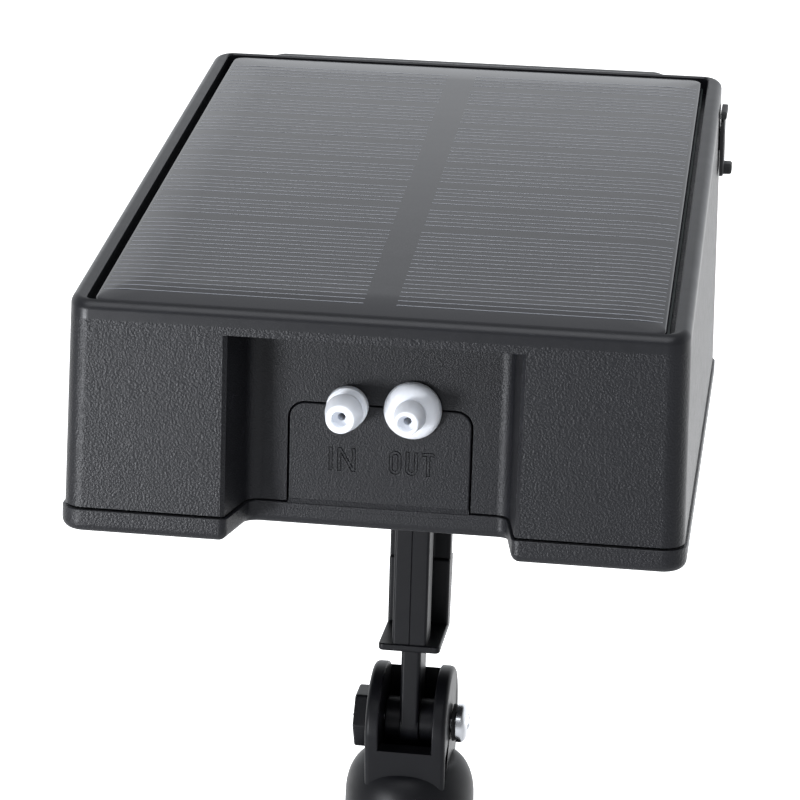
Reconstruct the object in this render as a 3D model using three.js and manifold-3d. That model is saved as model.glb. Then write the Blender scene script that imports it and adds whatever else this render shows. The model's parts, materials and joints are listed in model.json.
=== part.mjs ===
// Solar drip-irrigation pump on a hinged ground stake.
//
// The stake stands on the origin: z = 0 is the ground line and the stake's axis is the z axis.
// The case is built in its own frame (x across, y from the hose end to the control end, z up from
// its underside) and hangs on the tilt hinge. All sizes are millimetres.

import * as THREE from 'three';
import { mergeVertices } from 'three/addons/utils/BufferGeometryUtils.js';
import Module from 'manifold-3d';

const wasm = await Module();
wasm.setup();

// ---------------------------------------------------------------- driving dimensions

// Fits between pieces
const GAP = 0.3; // between two pieces that touch
const SEAL_GAP = 0.2; // between the seal and its groove
const REACH = 60; // how far a cutter runs past what it cuts

// Case
const CASE_WIDTH = 108; // across the rim
const CASE_LENGTH = 130.2; // rim length, measured level
const CASE_NEAR_HEIGHT = 41.7; // underside to rim at the hose end
const PANEL_SLOPE = THREE.MathUtils.degToRad(10.35);
const SIDE_DRAFT = 0.025; // outward lean of the long walls, per mm down
const END_DRAFT = 0.033; // outward lean of the end walls, per mm down
const CORNER_RADIUS = 4;
const RIM_ROUND = 1.3;
const WALL = 2.4;
const DECK = 2; // shelf under the panel

// Base cover
const COVER_HEIGHT = 4.2;
const COVER_PROUD = 0.45; // how far the cover stands out of the upper shell
const COVER_FLOOR = 2.2;
const COVER_ROUND = 1.8;
const LIP_HEIGHT = 2.6; // locating lip inside the upper shell
const LIP_WALL = 1.4;
const SEAL_WIDTH = 1.2;
const SEAL_HEIGHT = 1.1;

// Recess with the hose ports, in the low end wall
const RECESS_HALF_WIDTH = 25.6;
const RECESS_DEPTH = 11;
const RECESS_LEAN = 2.2; // how much narrower the back of the recess is, each side
const RECESS_ROUND = 2.5; // of its two inner corners
const RECESS_ROOF = 4.5; // from the near rim down to the recess's roof
const TONGUE_HALF_WIDTH = 16.3;
const TONGUE_ROUND = 2.8;
const PORT_HEIGHT = 22.9;
const PORT_SPACING = 11.6;
const PORT_REACH = 9.4; // barb tip to the recess's back wall
const PORT_BORE = 3;
const SPIGOT_DIAMETER = 4; // hose spigots inside the case and on the pump
const SHANK_DIAMETER = 5; // fitting where it passes through the wall

// Solar panel, in the plane of the rim
const LEAD_HOLE = 5; // in the deck, for the panel's lead
const LEAD_FROM_FAR = 25.8; // that hole to the panel's far end
const PANEL_SIDE_RIM = 2.9;
const PANEL_SIDE_GAP = 1; // open groove along each side
const PANEL_NEAR_RIM = 1.6;
const PANEL_FAR_RIM = 1.8;
const BACKING = 1.2;
const CELL = 0.4;
const RESIN = 1.4;
const CELL_COLUMN_GAP = 5.8;
const CELL_MARGIN = 1.6; // from a cell column's outer edge to the panel's edge

// Visor over the control face
const VISOR_FROM_SIDE = 10.5;
const VISOR_REACH = 2.6;
const VISOR_HEIGHT = 7;
const VISOR_END = 3.7; // length of its curved ends

// Control face
const PLATE_HALF_WIDTH = 31;
const PLATE_HEIGHT = 30;
const PLATE_DROP = 11; // from the far rim down to the plate's top
const PLATE_THICKNESS = 1;
const WINDOW_HALF_WIDTH = 13;
const WINDOW_HEIGHT = 13;
const WINDOW_OFFSET = -10; // window centre from the case's centre line
const BUTTON_DIAMETER = 9;
const BUTTON_PITCH = 14;
const BUTTON_OFFSET = 16; // button column from the case's centre line
const BUTTON_PROUD = 1.6;
const BUTTON_TRAVEL = 0.8;
const BUTTON_FLANGE = 1.4; // radial width of the flange behind the wall
const LENS_DIAMETER = 3.4;
const BOARD_DEPTH = 9; // outer face of the far wall to the board's front
const BOARD_THICKNESS = 1.6;
const BOARD_FROM_SOCKET = 1.6;
const SWITCH_SIZE = 6;
const SWITCH_HEIGHT = 3.4;

// Charging port and its flap, in the right wall
const PORT_FLAP_FROM_FAR = 9.2; // flap centre to the far rim
const PORT_FLAP_DROP = 10.4; // flap centre below the rim
const FLAP_HEIGHT = 13.6;
const FLAP_LENGTH = 10.6;
const FLAP_THICKNESS = 0.8;
const FLAP_TAB = 2.5;
const FLAP_ANCHOR = 1.6; // height of the fixed root
const SOCKET_WIDTH = 9;
const SOCKET_HEIGHT = 3.6;
const SOCKET_DEPTH = 7;
const SOCKET_BOARD_REACH = 3; // how far its board goes past it

// Pump
const PUMP_SIZE = 26; // square housing
const PUMP_BED = 2; // from the cover's floor to the housing
const VALVE_HEAD_LENGTH = 8;
const DIAPHRAGM_THICKNESS = 1.5;
const HOUSING_LENGTH = 13;
const HOUSING_WALL = 2;
const MOTOR_DIAMETER = 24;
const MOTOR_LENGTH = 30;
const CRANK_DIAMETER = 16;
const CRANK_LENGTH = 6;
const HOSE_RUN = 15; // recess wall's inner face to the valve head
const HOSE_WALL = 0.9;
const STRAP_WIDTH = 10;
const STRAP_THICKNESS = 1;

// Battery
const BATTERY_DIAMETER = 18.4;
const BATTERY_LENGTH = 65;
const BATTERY_BED = 2;
const BATTERY_WALL = 1.6;
const BATTERY_FROM_RECESS = 8; // recess wall's inner face to the cradle

// Case screws
const SCREW_DIAMETER = 2.9;
const SCREW_HEAD = 5.6;
const SCREW_HEAD_HEIGHT = 1.8;
const SCREW_LENGTH = 16;
const SCREW_HEAD_SINK = 0.5; // how far a head lies up inside the cover
const PILLAR_DIAMETER = 7.4;

// Post under the case
const POST_HALF_WIDTH = 6.2;
const POST_FRONT_HALF_WIDTH = 3.5;
const POST_WEB_HALF_WIDTH = 2.6;
const POST_DEPTH = 17; // along y
const POST_FRONT_DEPTH = 6;
const POST_REAR_DEPTH = 3.4;
const POST_HOUSED = 10; // length inside the socket
const POST_LENGTH = 40.7; // case underside to collar
const GUSSET_HEIGHT = 14;
const GUSSET_REACH = 1.6; // how far a gusset stands out behind the rear flange
const COLLAR_THICKNESS = 1.5;
const COLLAR_LIP = 0.4; // how far the collar stands out at the front
const SOCKET_WALL = 2.4;
const POST_SCREW_DIAMETER = 3.5;

// Tilt hinge
const HINGE_FROM_NEAR = 70; // hinge to the near rim, level
const HINGE_DROP = 60; // hinge below the case's underside
const HINGE_SCREW_DIAMETER = 4;
const HINGE_HEAD_DIAMETER = 8;
const HINGE_HEAD_HEIGHT = 2.5;
const HINGE_WASHER = 0.6;
const TONGUE_THICKNESS = 4;
const TONGUE_HALF_DEPTH = 5;
const HUB_DIAMETER = 9;
const EAR_RADIUS = 11.5;
const EAR_THICKNESS = 2.8;
const EAR_SPACING = 10.8; // between the ears' inner faces
const NUT_BOSS = 11.2; // across flats
const NUT_BOSS_HEIGHT = 3.2;
const NUT_WIDTH = 7; // across flats
const NUT_HEIGHT = 3;
const FORK_LIP = 3; // fork's mouth below the hinge
const FORK_HOLLOW = 7.5; // radius of the rounded bottom of the fork, and the face of its rear web
const NECK_HALF_DEPTH = 9.6;

// Sleeve and ground spike
const HINGE_HEIGHT = 70; // hinge above the ground line
const SLEEVE_RADIUS = 13.2;
const SLEEVE_FOOT_RADIUS = 13.8;
const SLEEVE_WALL = 2.4;
const SHOULDER_TOP = 8; // shoulder's start below the hinge
const SHOULDER_DROP = 8;
const SLEEVE_CEILING = 22; // bore's end below the hinge
const SHOULDER_PLATE_RADIUS = 19;
const SHOULDER_PLATE_THICKNESS = 2.7;
const PEG_LENGTH = 38;
const BLADE_THICKNESS = 2.4;
const BLADE_HALF_WIDTH = 12.5;
const BLADE_TIP_HALF_WIDTH = 2.2;
const SPIKE_LENGTH = 135;
const SPIKE_POINT = 9;

// ---------------------------------------------------------------- finishes

/** A finish from its colour, roughness and metalness. */
function finish(color, roughness, metalness = 0) {
  return new THREE.MeshStandardMaterial({ color, roughness, metalness });
}

const FINISH = {
  grainedPlastic: finish(0x2b2b2e, 0.62),
  resin: finish(0x1c1d22, 0.12),
  cell: finish(0x15161c, 0.3),
  board: finish(0x1f4a30, 0.5),
  backing: finish(0x20242a, 0.6),
  whitePlastic: finish(0xe9ebee, 0.35),
  rubber: finish(0x1b1b1c, 0.8),
  silicone: finish(0xd9dcde, 0.4),
  steel: finish(0xb8babd, 0.3, 1),
  motorSteel: finish(0x9a9c9f, 0.4, 1),
  pumpPlastic: finish(0x3a3d42, 0.5),
  battery: finish(0x2f5fa0, 0.45),
  controlFilm: finish(0x3c4046, 0.4),
  display: finish(0x6e7a70, 0.3),
  clear: finish(0x9fb0b8, 0.08),
  buttonPlastic: finish(0x8f969c, 0.5),
  lens: finish(0x7fd08a, 0.15),
};

// ---------------------------------------------------------------- shape helpers

/** A closed solid of a geometry, ready to be joined or cut. */
function solid(geometry) {
  const bare = geometry.clone();
  bare.deleteAttribute('normal');
  bare.deleteAttribute('uv');
  const merged = mergeVertices(bare, 1e-4);
  const mesh = new wasm.Mesh({
    numProp: 3,
    vertProperties: Float32Array.from(merged.attributes.position.array),
    triVerts: Uint32Array.from(merged.index.array),
  });
  mesh.merge();
  return new wasm.Manifold(mesh);
}

/** The geometry of a solid. */
function geometryOf(body) {
  const mesh = body.getMesh();
  const geometry = new THREE.BufferGeometry();
  geometry.setAttribute('position', new THREE.BufferAttribute(Float32Array.from(mesh.vertProperties), 3));
  geometry.setIndex(new THREE.BufferAttribute(Uint32Array.from(mesh.triVerts), 1));
  geometry.computeVertexNormals();
  return geometry;
}

/** One geometry from a list of geometries that touch or overlap. */
function join(...geometries) {
  return geometryOf(geometries.map(solid).reduce((whole, piece) => whole.add(piece)));
}

/** A geometry with the others cut away from it. */
function cut(geometry, ...cutters) {
  return geometryOf(cutters.map(solid).reduce((whole, piece) => whole.subtract(piece), solid(geometry)));
}

/** A box between two corners. */
function box(x0, x1, y0, y1, z0, z1) {
  return new THREE.BoxGeometry(x1 - x0, y1 - y0, z1 - z0)
    .translate((x0 + x1) / 2, (y0 + y1) / 2, (z0 + z1) / 2);
}

/** A round rod along x, y or z, from one end to the other, about a centre in the other two axes. */
function rod(axis, radius, from, to, first = 0, second = 0, sides = 18) {
  const geometry = new THREE.CylinderGeometry(radius, radius, to - from, sides);
  const middle = (from + to) / 2;
  if (axis === 'x') return geometry.rotateZ(-Math.PI / 2).translate(middle, first, second);
  if (axis === 'y') return geometry.translate(first, middle, second);
  return geometry.rotateX(Math.PI / 2).translate(first, second, middle);
}

/** A flat outline in x and y made thick along z, between two heights. */
function slab(shape, from, to, curveSegments = 3) {
  return new THREE.ExtrudeGeometry(shape, { depth: to - from, bevelEnabled: false, curveSegments })
    .translate(0, 0, from);
}

/** An outline drawn in y and z, made thick along x. */
function slabAcross(shape, from, to, curveSegments = 3) {
  return slab(shape, from, to, curveSegments).applyMatrix4(
    new THREE.Matrix4().makeBasis(
      new THREE.Vector3(0, 1, 0), new THREE.Vector3(0, 0, 1), new THREE.Vector3(1, 0, 0)));
}

/** An outline drawn in x and z, made thick along y. */
function slabAlong(shape, from, to, curveSegments = 3) {
  return slab(shape, -to, -from, curveSegments).rotateX(Math.PI / 2);
}

/** A turned piece about the y axis from its closed half section of [radius, y] points. */
function turnedAlongY(points, sides = 20) {
  return new THREE.LatheGeometry(points.map(([r, y]) => new THREE.Vector2(r, y)), sides);
}

/** A turned piece about the z axis from its closed half section of [radius, z] points. */
function turnedAlongZ(points, sides = 24) {
  return turnedAlongY(points, sides).rotateX(Math.PI / 2);
}

/** A rectangle with round corners, from its half width and two ends. */
function roundedRectangle(halfWidth, y0, y1, radius) {
  const shape = new THREE.Shape();
  shape.moveTo(halfWidth, y0 + radius);
  shape.lineTo(halfWidth, y1 - radius);
  shape.absarc(halfWidth - radius, y1 - radius, radius, 0, Math.PI / 2);
  shape.absarc(-halfWidth + radius, y1 - radius, radius, Math.PI / 2, Math.PI);
  shape.absarc(-halfWidth + radius, y0 + radius, radius, Math.PI, 1.5 * Math.PI);
  shape.absarc(halfWidth - radius, y0 + radius, radius, 1.5 * Math.PI, 2 * Math.PI);
  return shape;
}

/** A rectangle with round corners about a centre. */
function roundedPlate(x0, x1, y0, y1, radius) {
  const shape = roundedRectangle((x1 - x0) / 2, y0, y1, radius);
  const moved = shape.getPoints(2).map((p) => new THREE.Vector2(p.x + (x0 + x1) / 2, p.y));
  return new THREE.Shape(moved);
}

/** A regular hexagon about the origin, from its width across flats. */
function hexagon(acrossFlats) {
  const corner = acrossFlats / Math.sqrt(3);
  const points = [0, 1, 2, 3, 4, 5].map((k) => {
    const angle = (k * Math.PI) / 3;
    return new THREE.Vector2(corner * Math.cos(angle), corner * Math.sin(angle));
  });
  return new THREE.Shape(points);
}

/** A closed body through a stack of rings with equal numbers of points, lowest ring first. */
function loft(rings) {
  const count = rings[0].length;
  const positions = rings.flat().flatMap((p) => [p.x, p.y, p.z]);
  const index = [];
  for (let ring = 0; ring + 1 < rings.length; ring += 1) {
    for (let k = 0; k < count; k += 1) {
      const a = ring * count + k;
      const b = ring * count + ((k + 1) % count);
      index.push(a, b, b + count, a, b + count, a + count);
    }
  }
  const cap = THREE.ShapeUtils.triangulateShape(rings[0].map((p) => new THREE.Vector2(p.x, p.y)), []);
  const last = (rings.length - 1) * count;
  for (const [a, b, c] of cap) {
    index.push(a, c, b, last + a, last + b, last + c);
  }
  const geometry = new THREE.BufferGeometry();
  geometry.setAttribute('position', new THREE.Float32BufferAttribute(positions, 3));
  geometry.setIndex(index);
  geometry.computeVertexNormals();
  return geometry;
}

/** Adds a named piece to a group. */
function add(parent, name, geometry, material) {
  const piece = new THREE.Mesh(geometry, material);
  piece.name = name;
  parent.add(piece);
  return piece;
}

// ---------------------------------------------------------------- case surfaces and frames

const HALF_WIDTH = CASE_WIDTH / 2;
const panelHalfWidth = HALF_WIDTH - PANEL_SIDE_RIM - PANEL_SIDE_GAP;
const visorHalfWidth = HALF_WIDTH - VISOR_FROM_SIDE;
const boardHalfWidth = HALF_WIDTH - WALL - SOCKET_DEPTH - SOCKET_BOARD_REACH - BOARD_FROM_SOCKET;
const SLOPE_RISE = Math.tan(PANEL_SLOPE);
const FAR_HEIGHT = CASE_NEAR_HEIGHT + CASE_LENGTH * SLOPE_RISE;
const POCKET_DEPTH = BACKING + CELL + RESIN + 2 * GAP;
const DECK_DEPTH = (POCKET_DEPTH + DECK) / Math.cos(PANEL_SLOPE);
const CORNER_STEPS = 2;

/** Rim height at a distance from the near end. */
function rimHeight(y) {
  return CASE_NEAR_HEIGHT + y * SLOPE_RISE;
}

/** Underside of the panel shelf at a distance from the near end. */
function deckUnderside(y) {
  return rimHeight(y) - DECK_DEPTH;
}

/** Outer face of the far wall at a height. */
function farFace(z) {
  return CASE_LENGTH + END_DRAFT * (FAR_HEIGHT - z);
}

/** Outer face of the near wall at a height. */
function nearFace(z) {
  return -END_DRAFT * (CASE_NEAR_HEIGHT - z);
}

/** Outer face of a long wall at a distance from the near end and a height. */
function sideFace(y, z) {
  return HALF_WIDTH + SIDE_DRAFT * (rimHeight(y) - z);
}

/** The case's outline at a level, inset from its outer walls, as points at that level. */
function levelRing(z, inset) {
  const radius = Math.max(CORNER_RADIUS - inset, 1);
  const outline = roundedRectangle(HALF_WIDTH - inset, nearFace(z) + inset, farFace(z) - inset, radius);
  return outline.getPoints(CORNER_STEPS).map((p) => {
    const lean = SIDE_DRAFT * (rimHeight(p.y) - z);
    return new THREE.Vector3(p.x + Math.sign(p.x) * lean, p.y, z);
  });
}

/** The case's outline on a plane at a depth below the rim plane, inset from its outer walls. */
function slopedRing(depth, inset) {
  const radius = Math.max(CORNER_RADIUS - inset, 1);
  const near = -END_DRAFT * depth + inset;
  const far = CASE_LENGTH + END_DRAFT * depth - inset;
  const halfWidth = HALF_WIDTH + SIDE_DRAFT * depth - inset;
  const outline = roundedRectangle(halfWidth, near, far, radius);
  return outline.getPoints(CORNER_STEPS).map((p) => new THREE.Vector3(p.x, p.y, rimHeight(p.y) - depth));
}

// In the panel frame x runs across, y up the slope from the near rim, and z out of the panel.
const panelFrame = new THREE.Matrix4().makeRotationX(PANEL_SLOPE).setPosition(0, 0, CASE_NEAR_HEIGHT);
// In the control frame x runs to the viewer's right, y up the far wall from the rim, z outwards.
const controlFrame = new THREE.Matrix4()
  .makeBasis(
    new THREE.Vector3(-1, 0, 0),
    new THREE.Vector3(0, -END_DRAFT, 1).normalize(),
    new THREE.Vector3(0, 1, END_DRAFT).normalize())
  .setPosition(0, CASE_LENGTH, FAR_HEIGHT);
// In the flap frame x runs along the right wall, y up it from the flap's centre, z outwards.
const flapCentreY = CASE_LENGTH - PORT_FLAP_FROM_FAR;
const flapCentreZ = rimHeight(flapCentreY) - PORT_FLAP_DROP;
const flapFrame = new THREE.Matrix4()
  .makeBasis(
    new THREE.Vector3(0, 1, 0),
    new THREE.Vector3(-SIDE_DRAFT, 0, 1).normalize(),
    new THREE.Vector3(1, 0, SIDE_DRAFT).normalize())
  .setPosition(sideFace(flapCentreY, flapCentreZ), flapCentreY, flapCentreZ);

/** A geometry drawn in one of the frames above, placed in the case's frame. */
function placed(geometry, frame) {
  return geometry.applyMatrix4(frame);
}

const panelLength = CASE_LENGTH / Math.cos(PANEL_SLOPE) - PANEL_NEAR_RIM - PANEL_FAR_RIM;
const recessBack = RECESS_DEPTH;
const recessInner = RECESS_DEPTH + WALL;
const recessTop = CASE_NEAR_HEIGHT - RECESS_ROOF;
const portXs = [-PORT_SPACING / 2, PORT_SPACING / 2];

// Screw places: along the long walls, the last pair just short of the charging socket.
const pillarInset = WALL + PILLAR_DIAMETER / 2 - 1;
const lastScrewRow = flapCentreY - SOCKET_WIDTH / 2 - PILLAR_DIAMETER / 2 - 3;
const screwRows = [pillarInset + 1, HINGE_FROM_NEAR, lastScrewRow];
const screwPlaces = screwRows.flatMap((y) => [-1, 1].map((side) => [side * (HALF_WIDTH - pillarInset), y]));
const bossTop = COVER_HEIGHT;
const sealInset = (WALL - SEAL_WIDTH - COVER_PROUD) / 2;

/** The recess's plan: wide at the mouth, narrower at the back, grown by an offset. */
function recessPlan(offset) {
  const mouth = RECESS_HALF_WIDTH + offset;
  const back = RECESS_HALF_WIDTH - RECESS_LEAN + offset;
  const depth = recessBack + offset;
  const shape = new THREE.Shape();
  shape.moveTo(-mouth, -REACH);
  shape.lineTo(mouth, -REACH);
  shape.lineTo(mouth, 0);
  shape.lineTo(back, depth - RECESS_ROUND);
  shape.quadraticCurveTo(back, depth, back - RECESS_ROUND, depth);
  shape.lineTo(-back + RECESS_ROUND, depth);
  shape.quadraticCurveTo(-back, depth, -back, depth - RECESS_ROUND);
  shape.lineTo(-mouth, 0);
  shape.closePath();
  return shape;
}

// ---------------------------------------------------------------- upper shell

/** The fixed visor that stands out of the far wall under the rim. */
function visor() {
  const shape = new THREE.Shape();
  const inside = -WALL / 2;
  shape.moveTo(-visorHalfWidth, inside);
  shape.lineTo(visorHalfWidth, inside);
  shape.lineTo(visorHalfWidth, 0);
  shape.bezierCurveTo(
    visorHalfWidth - VISOR_END / 2, 0,
    visorHalfWidth - VISOR_END / 2, VISOR_REACH,
    visorHalfWidth - VISOR_END, VISOR_REACH);
  shape.lineTo(-visorHalfWidth + VISOR_END, VISOR_REACH);
  shape.bezierCurveTo(
    -visorHalfWidth + VISOR_END / 2, VISOR_REACH,
    -visorHalfWidth + VISOR_END / 2, 0,
    -visorHalfWidth, 0);
  shape.closePath();
  const block = slab(shape, -VISOR_HEIGHT, 0, 4);
  const positions = block.attributes.position;
  for (let k = 0; k < positions.count; k += 1) {
    const y = positions.getY(k);
    const top = positions.getZ(k) > -VISOR_HEIGHT / 2;
    const z = top ? -RIM_ROUND / 2 + y * SLOPE_RISE : -VISOR_HEIGHT - Math.max(VISOR_REACH - y, 0);
    positions.setZ(k, z);
  }
  return block.translate(0, CASE_LENGTH, FAR_HEIGHT);
}

/** The cutters that open the far wall for the display, the buttons and the light. */
function controlOpenings() {
  const plateMiddle = -PLATE_DROP - PLATE_HEIGHT / 2;
  const cutters = [box(
    WINDOW_OFFSET - WINDOW_HALF_WIDTH, WINDOW_OFFSET + WINDOW_HALF_WIDTH,
    plateMiddle - WINDOW_HEIGHT / 2, plateMiddle + WINDOW_HEIGHT / 2, -2 * WALL, WALL)];
  for (const y of buttonHeights()) {
    cutters.push(rod('z', BUTTON_DIAMETER / 2 + GAP, -2 * WALL, WALL, BUTTON_OFFSET, y));
  }
  cutters.push(rod('z', LENS_DIAMETER / 2 + GAP, -2 * WALL, WALL, lensPlace().x, lensPlace().y, 16));
  return cutters.map((cutter) => placed(cutter, controlFrame));
}

/** Heights of the two buttons in the control frame. */
function buttonHeights() {
  const middle = -PLATE_DROP - PLATE_HEIGHT / 2;
  return [middle + BUTTON_PITCH / 2, middle - BUTTON_PITCH / 2];
}

/** Place of the status light in the control frame. */
function lensPlace() {
  return new THREE.Vector2(WINDOW_OFFSET, -PLATE_DROP - PLATE_HEIGHT + 4);
}

/** The wall's opening for the charging socket. */
function socketOpening(clearance) {
  const shape = roundedPlate(
    -SOCKET_WIDTH / 2 - clearance, SOCKET_WIDTH / 2 + clearance,
    -SOCKET_HEIGHT / 2 - clearance, SOCKET_HEIGHT / 2 + clearance, 1.2);
  return shape;
}

/** The cutters of the two ports through the recess's back wall. */
function portHoles() {
  return portXs.map((x) => (
    rod('y', SHANK_DIAMETER / 2 + GAP, recessBack - 1, recessInner + 1, x, PORT_HEIGHT)));
}

/** The sloping upper half of the case. */
function upperShell() {
  const base = COVER_HEIGHT + GAP;
  const outer = loft([
    levelRing(base, 0),
    slopedRing(RIM_ROUND, 0),
    slopedRing(RIM_ROUND * 0.3, RIM_ROUND * 0.3),
    slopedRing(0, RIM_ROUND),
  ]);
  const hollow = loft([levelRing(base - 1, WALL), slopedRing(DECK_DEPTH, WALL)]);
  const liner = slab(recessPlan(WALL), base - 2, recessTop + WALL);
  const pillars = screwPlaces.map(([x, y]) => (
    rod('z', PILLAR_DIAMETER / 2, bossTop + GAP, FAR_HEIGHT, x, y, 12)));
  const inside = cut(hollow, liner, ...pillars);
  const pocket = placed(slab(
    roundedRectangle(panelHalfWidth + PANEL_SIDE_GAP, PANEL_NEAR_RIM, PANEL_NEAR_RIM + panelLength, 1.5),
    -POCKET_DEPTH, REACH), panelFrame);
  const body = join(cut(outer, inside, pocket), visor());
  const pilots = screwPlaces.map(([x, y]) => (
    rod('z', SCREW_DIAMETER / 2 + GAP, 0, SCREW_HEAD_SINK + SCREW_LENGTH + 2, x, y, 12)));
  const leadHole = placed(
    rod('z', LEAD_HOLE / 2, -REACH, 1, 0, panelLength - LEAD_FROM_FAR, 12), panelFrame);
  const tongueSlot = slabAlong(tongueOutline(GAP, 0), recessBack - 1, recessInner + 1);
  const socketHole = placed(slab(socketOpening(2 * GAP), -2 * WALL, WALL), flapFrame);
  return cut(
    body,
    slab(recessPlan(0), -REACH, recessTop),
    ...pilots,
    leadHole,
    tongueSlot,
    ...portHoles(),
    socketHole,
    ...controlOpenings());
}

// ---------------------------------------------------------------- base cover

/** The front of the cover's tongue: a plate with round top corners, grown by an offset. */
function tongueOutline(offset, foot) {
  const half = TONGUE_HALF_WIDTH + offset;
  const top = PORT_HEIGHT + offset;
  const shape = new THREE.Shape();
  shape.moveTo(-half, foot);
  shape.lineTo(half, foot);
  shape.lineTo(half, top - TONGUE_ROUND);
  shape.absarc(half - TONGUE_ROUND, top - TONGUE_ROUND, TONGUE_ROUND, 0, Math.PI / 2);
  shape.absarc(-half + TONGUE_ROUND, top - TONGUE_ROUND, TONGUE_ROUND, Math.PI / 2, Math.PI);
  shape.closePath();
  return shape;
}

/** A wall that follows the case and goes round the recess, between two insets and two levels. */
function rimBand(outerInset, innerInset, from, to) {
  const outer = cut(
    loft([levelRing(from, outerInset), levelRing(to, outerInset)]),
    slab(recessPlan(outerInset), from - 1, to + 1));
  const inner = cut(
    loft([levelRing(from - 1, innerInset), levelRing(to + 1, innerInset)]),
    slab(recessPlan(innerInset), from - 2, to + 2));
  return cut(outer, inner);
}

/** The tray that closes the case, with the tongue between the hose ports and the post's socket. */
function baseCover() {
  const outer = loft([
    levelRing(0, COVER_ROUND - COVER_PROUD),
    levelRing(COVER_ROUND * 0.3, COVER_ROUND * 0.3 - COVER_PROUD),
    levelRing(COVER_ROUND, -COVER_PROUD),
    levelRing(COVER_HEIGHT, -COVER_PROUD),
  ]);
  const hollow = cut(
    loft([levelRing(COVER_FLOOR, WALL), levelRing(COVER_HEIGHT + 1, WALL)]),
    slab(recessPlan(WALL), 0, COVER_HEIGHT + 2));
  const tray = cut(outer, hollow, slab(recessPlan(-COVER_PROUD), -REACH, REACH));
  const lip = rimBand(WALL + GAP, WALL + GAP + LIP_WALL, COVER_FLOOR - 1, COVER_HEIGHT + LIP_HEIGHT);
  const bosses = screwPlaces.map(([x, y]) => (
    rod('z', PILLAR_DIAMETER / 2, COVER_FLOOR - 1, bossTop, x, y, 12)));
  const tongue = slabAlong(tongueOutline(0, COVER_FLOOR), recessBack, recessInner);
  const socket = box(
    -POST_HALF_WIDTH - GAP - SOCKET_WALL, POST_HALF_WIDTH + GAP + SOCKET_WALL,
    HINGE_FROM_NEAR - POST_DEPTH / 2 - GAP - SOCKET_WALL,
    HINGE_FROM_NEAR + POST_DEPTH / 2 + GAP + SOCKET_WALL,
    -POST_HOUSED, COVER_FLOOR - 1);
  const housing = box(
    -POST_HALF_WIDTH - GAP, POST_HALF_WIDTH + GAP,
    HINGE_FROM_NEAR - POST_DEPTH / 2 - GAP, HINGE_FROM_NEAR + POST_DEPTH / 2 + GAP, -REACH, 0);
  const heads = screwPlaces.map(([x, y]) => (
    rod('z', SCREW_HEAD / 2 + GAP, -1, SCREW_HEAD_SINK + SCREW_HEAD_HEIGHT + GAP, x, y, 14)));
  const shanks = screwPlaces.map(([x, y]) => rod('z', SCREW_DIAMETER / 2 + GAP, 0, bossTop + 1, x, y, 12));
  const postScrewHole = rod(
    'y', POST_SCREW_DIAMETER / 2 + GAP, HINGE_FROM_NEAR + POST_DEPTH / 2 - 1, HINGE_FROM_NEAR + REACH,
    0, -POST_HOUSED / 2, 16);
  const sealGroove = rimBand(
    sealInset - SEAL_GAP, sealInset + SEAL_WIDTH + SEAL_GAP,
    COVER_HEIGHT - SEAL_HEIGHT - SEAL_GAP, COVER_HEIGHT + 1);
  const lipClearance = box(
    -TONGUE_HALF_WIDTH - 1, TONGUE_HALF_WIDTH + 1, recessInner - 0.1, recessInner + 3, COVER_HEIGHT, REACH);
  const lipGaps = screwPlaces.map(([x, y]) => (
    rod('z', PILLAR_DIAMETER / 2 + GAP, COVER_HEIGHT, REACH, x, y, 12)));
  return cut(
    join(tray, cut(lip, lipClearance, ...lipGaps), ...bosses, tongue, socket),
    housing, ...heads, ...shanks, ...portHoles(), postScrewHole, cut(sealGroove, tongueBlock()));
}

/** The stretch of the recess's back wall that the tongue fills, where the seal has no groove. */
function tongueBlock() {
  return box(-TONGUE_HALF_WIDTH - 1, TONGUE_HALF_WIDTH + 1, recessBack - 1, recessInner + 1, 0, REACH);
}

/** The open seal cord in the cover's rim, which ends at both sides of the tongue. */
function caseSeal() {
  const ring = rimBand(sealInset, sealInset + SEAL_WIDTH, COVER_HEIGHT - SEAL_HEIGHT, COVER_HEIGHT);
  const ends = box(
    -TONGUE_HALF_WIDTH - 1 - GAP, TONGUE_HALF_WIDTH + 1 + GAP, recessBack - 1, recessInner + 1, 0, REACH);
  return cut(ring, ends);
}

/** A pan-head screw that points up, its head's underside at a level. */
function upwardScrew(headDiameter, headHeight, diameter, length) {
  return turnedAlongZ([
    [0, -headHeight], [headDiameter * 0.3, -headHeight], [headDiameter / 2, -headHeight * 0.45],
    [headDiameter / 2, 0], [diameter / 2, 0], [diameter / 2, length - diameter * 0.6], [0, length],
  ], 14);
}

// ---------------------------------------------------------------- solar panel

/** A flat layer of the panel between two depths below the rim plane. */
function panelLayer(halfWidth, margin, from, to, radius = 1.2) {
  return slab(
    roundedRectangle(halfWidth, PANEL_NEAR_RIM + margin, PANEL_NEAR_RIM + panelLength - margin, radius),
    from, to, 4);
}

/** One column of cells under the resin. */
function cellColumn(side) {
  const inner = CELL_COLUMN_GAP / 2;
  const outer = panelHalfWidth - CELL_MARGIN;
  const y0 = PANEL_NEAR_RIM + CELL_MARGIN;
  const y1 = PANEL_NEAR_RIM + panelLength - CELL_MARGIN;
  const top = -RESIN - GAP;
  return box(side < 0 ? -outer : inner, side < 0 ? -inner : outer, y0, y1, top - CELL, top);
}

/** The clear resin that fills the panel to the rim, with a rounded edge. */
function resinLayer() {
  const inset = 0.9;
  const rings = [[-RESIN, 0.25], [-0.5, 0.25], [-0.12, 0.5], [0, 0.25 + inset]].map(([z, margin]) => (
    roundedRectangle(
      panelHalfWidth - margin, PANEL_NEAR_RIM + GAP + margin,
      PANEL_NEAR_RIM + panelLength - GAP - margin, 1.2)
      .getPoints(2).map((p) => new THREE.Vector3(p.x, p.y, z))));
  return loft(rings);
}

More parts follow.
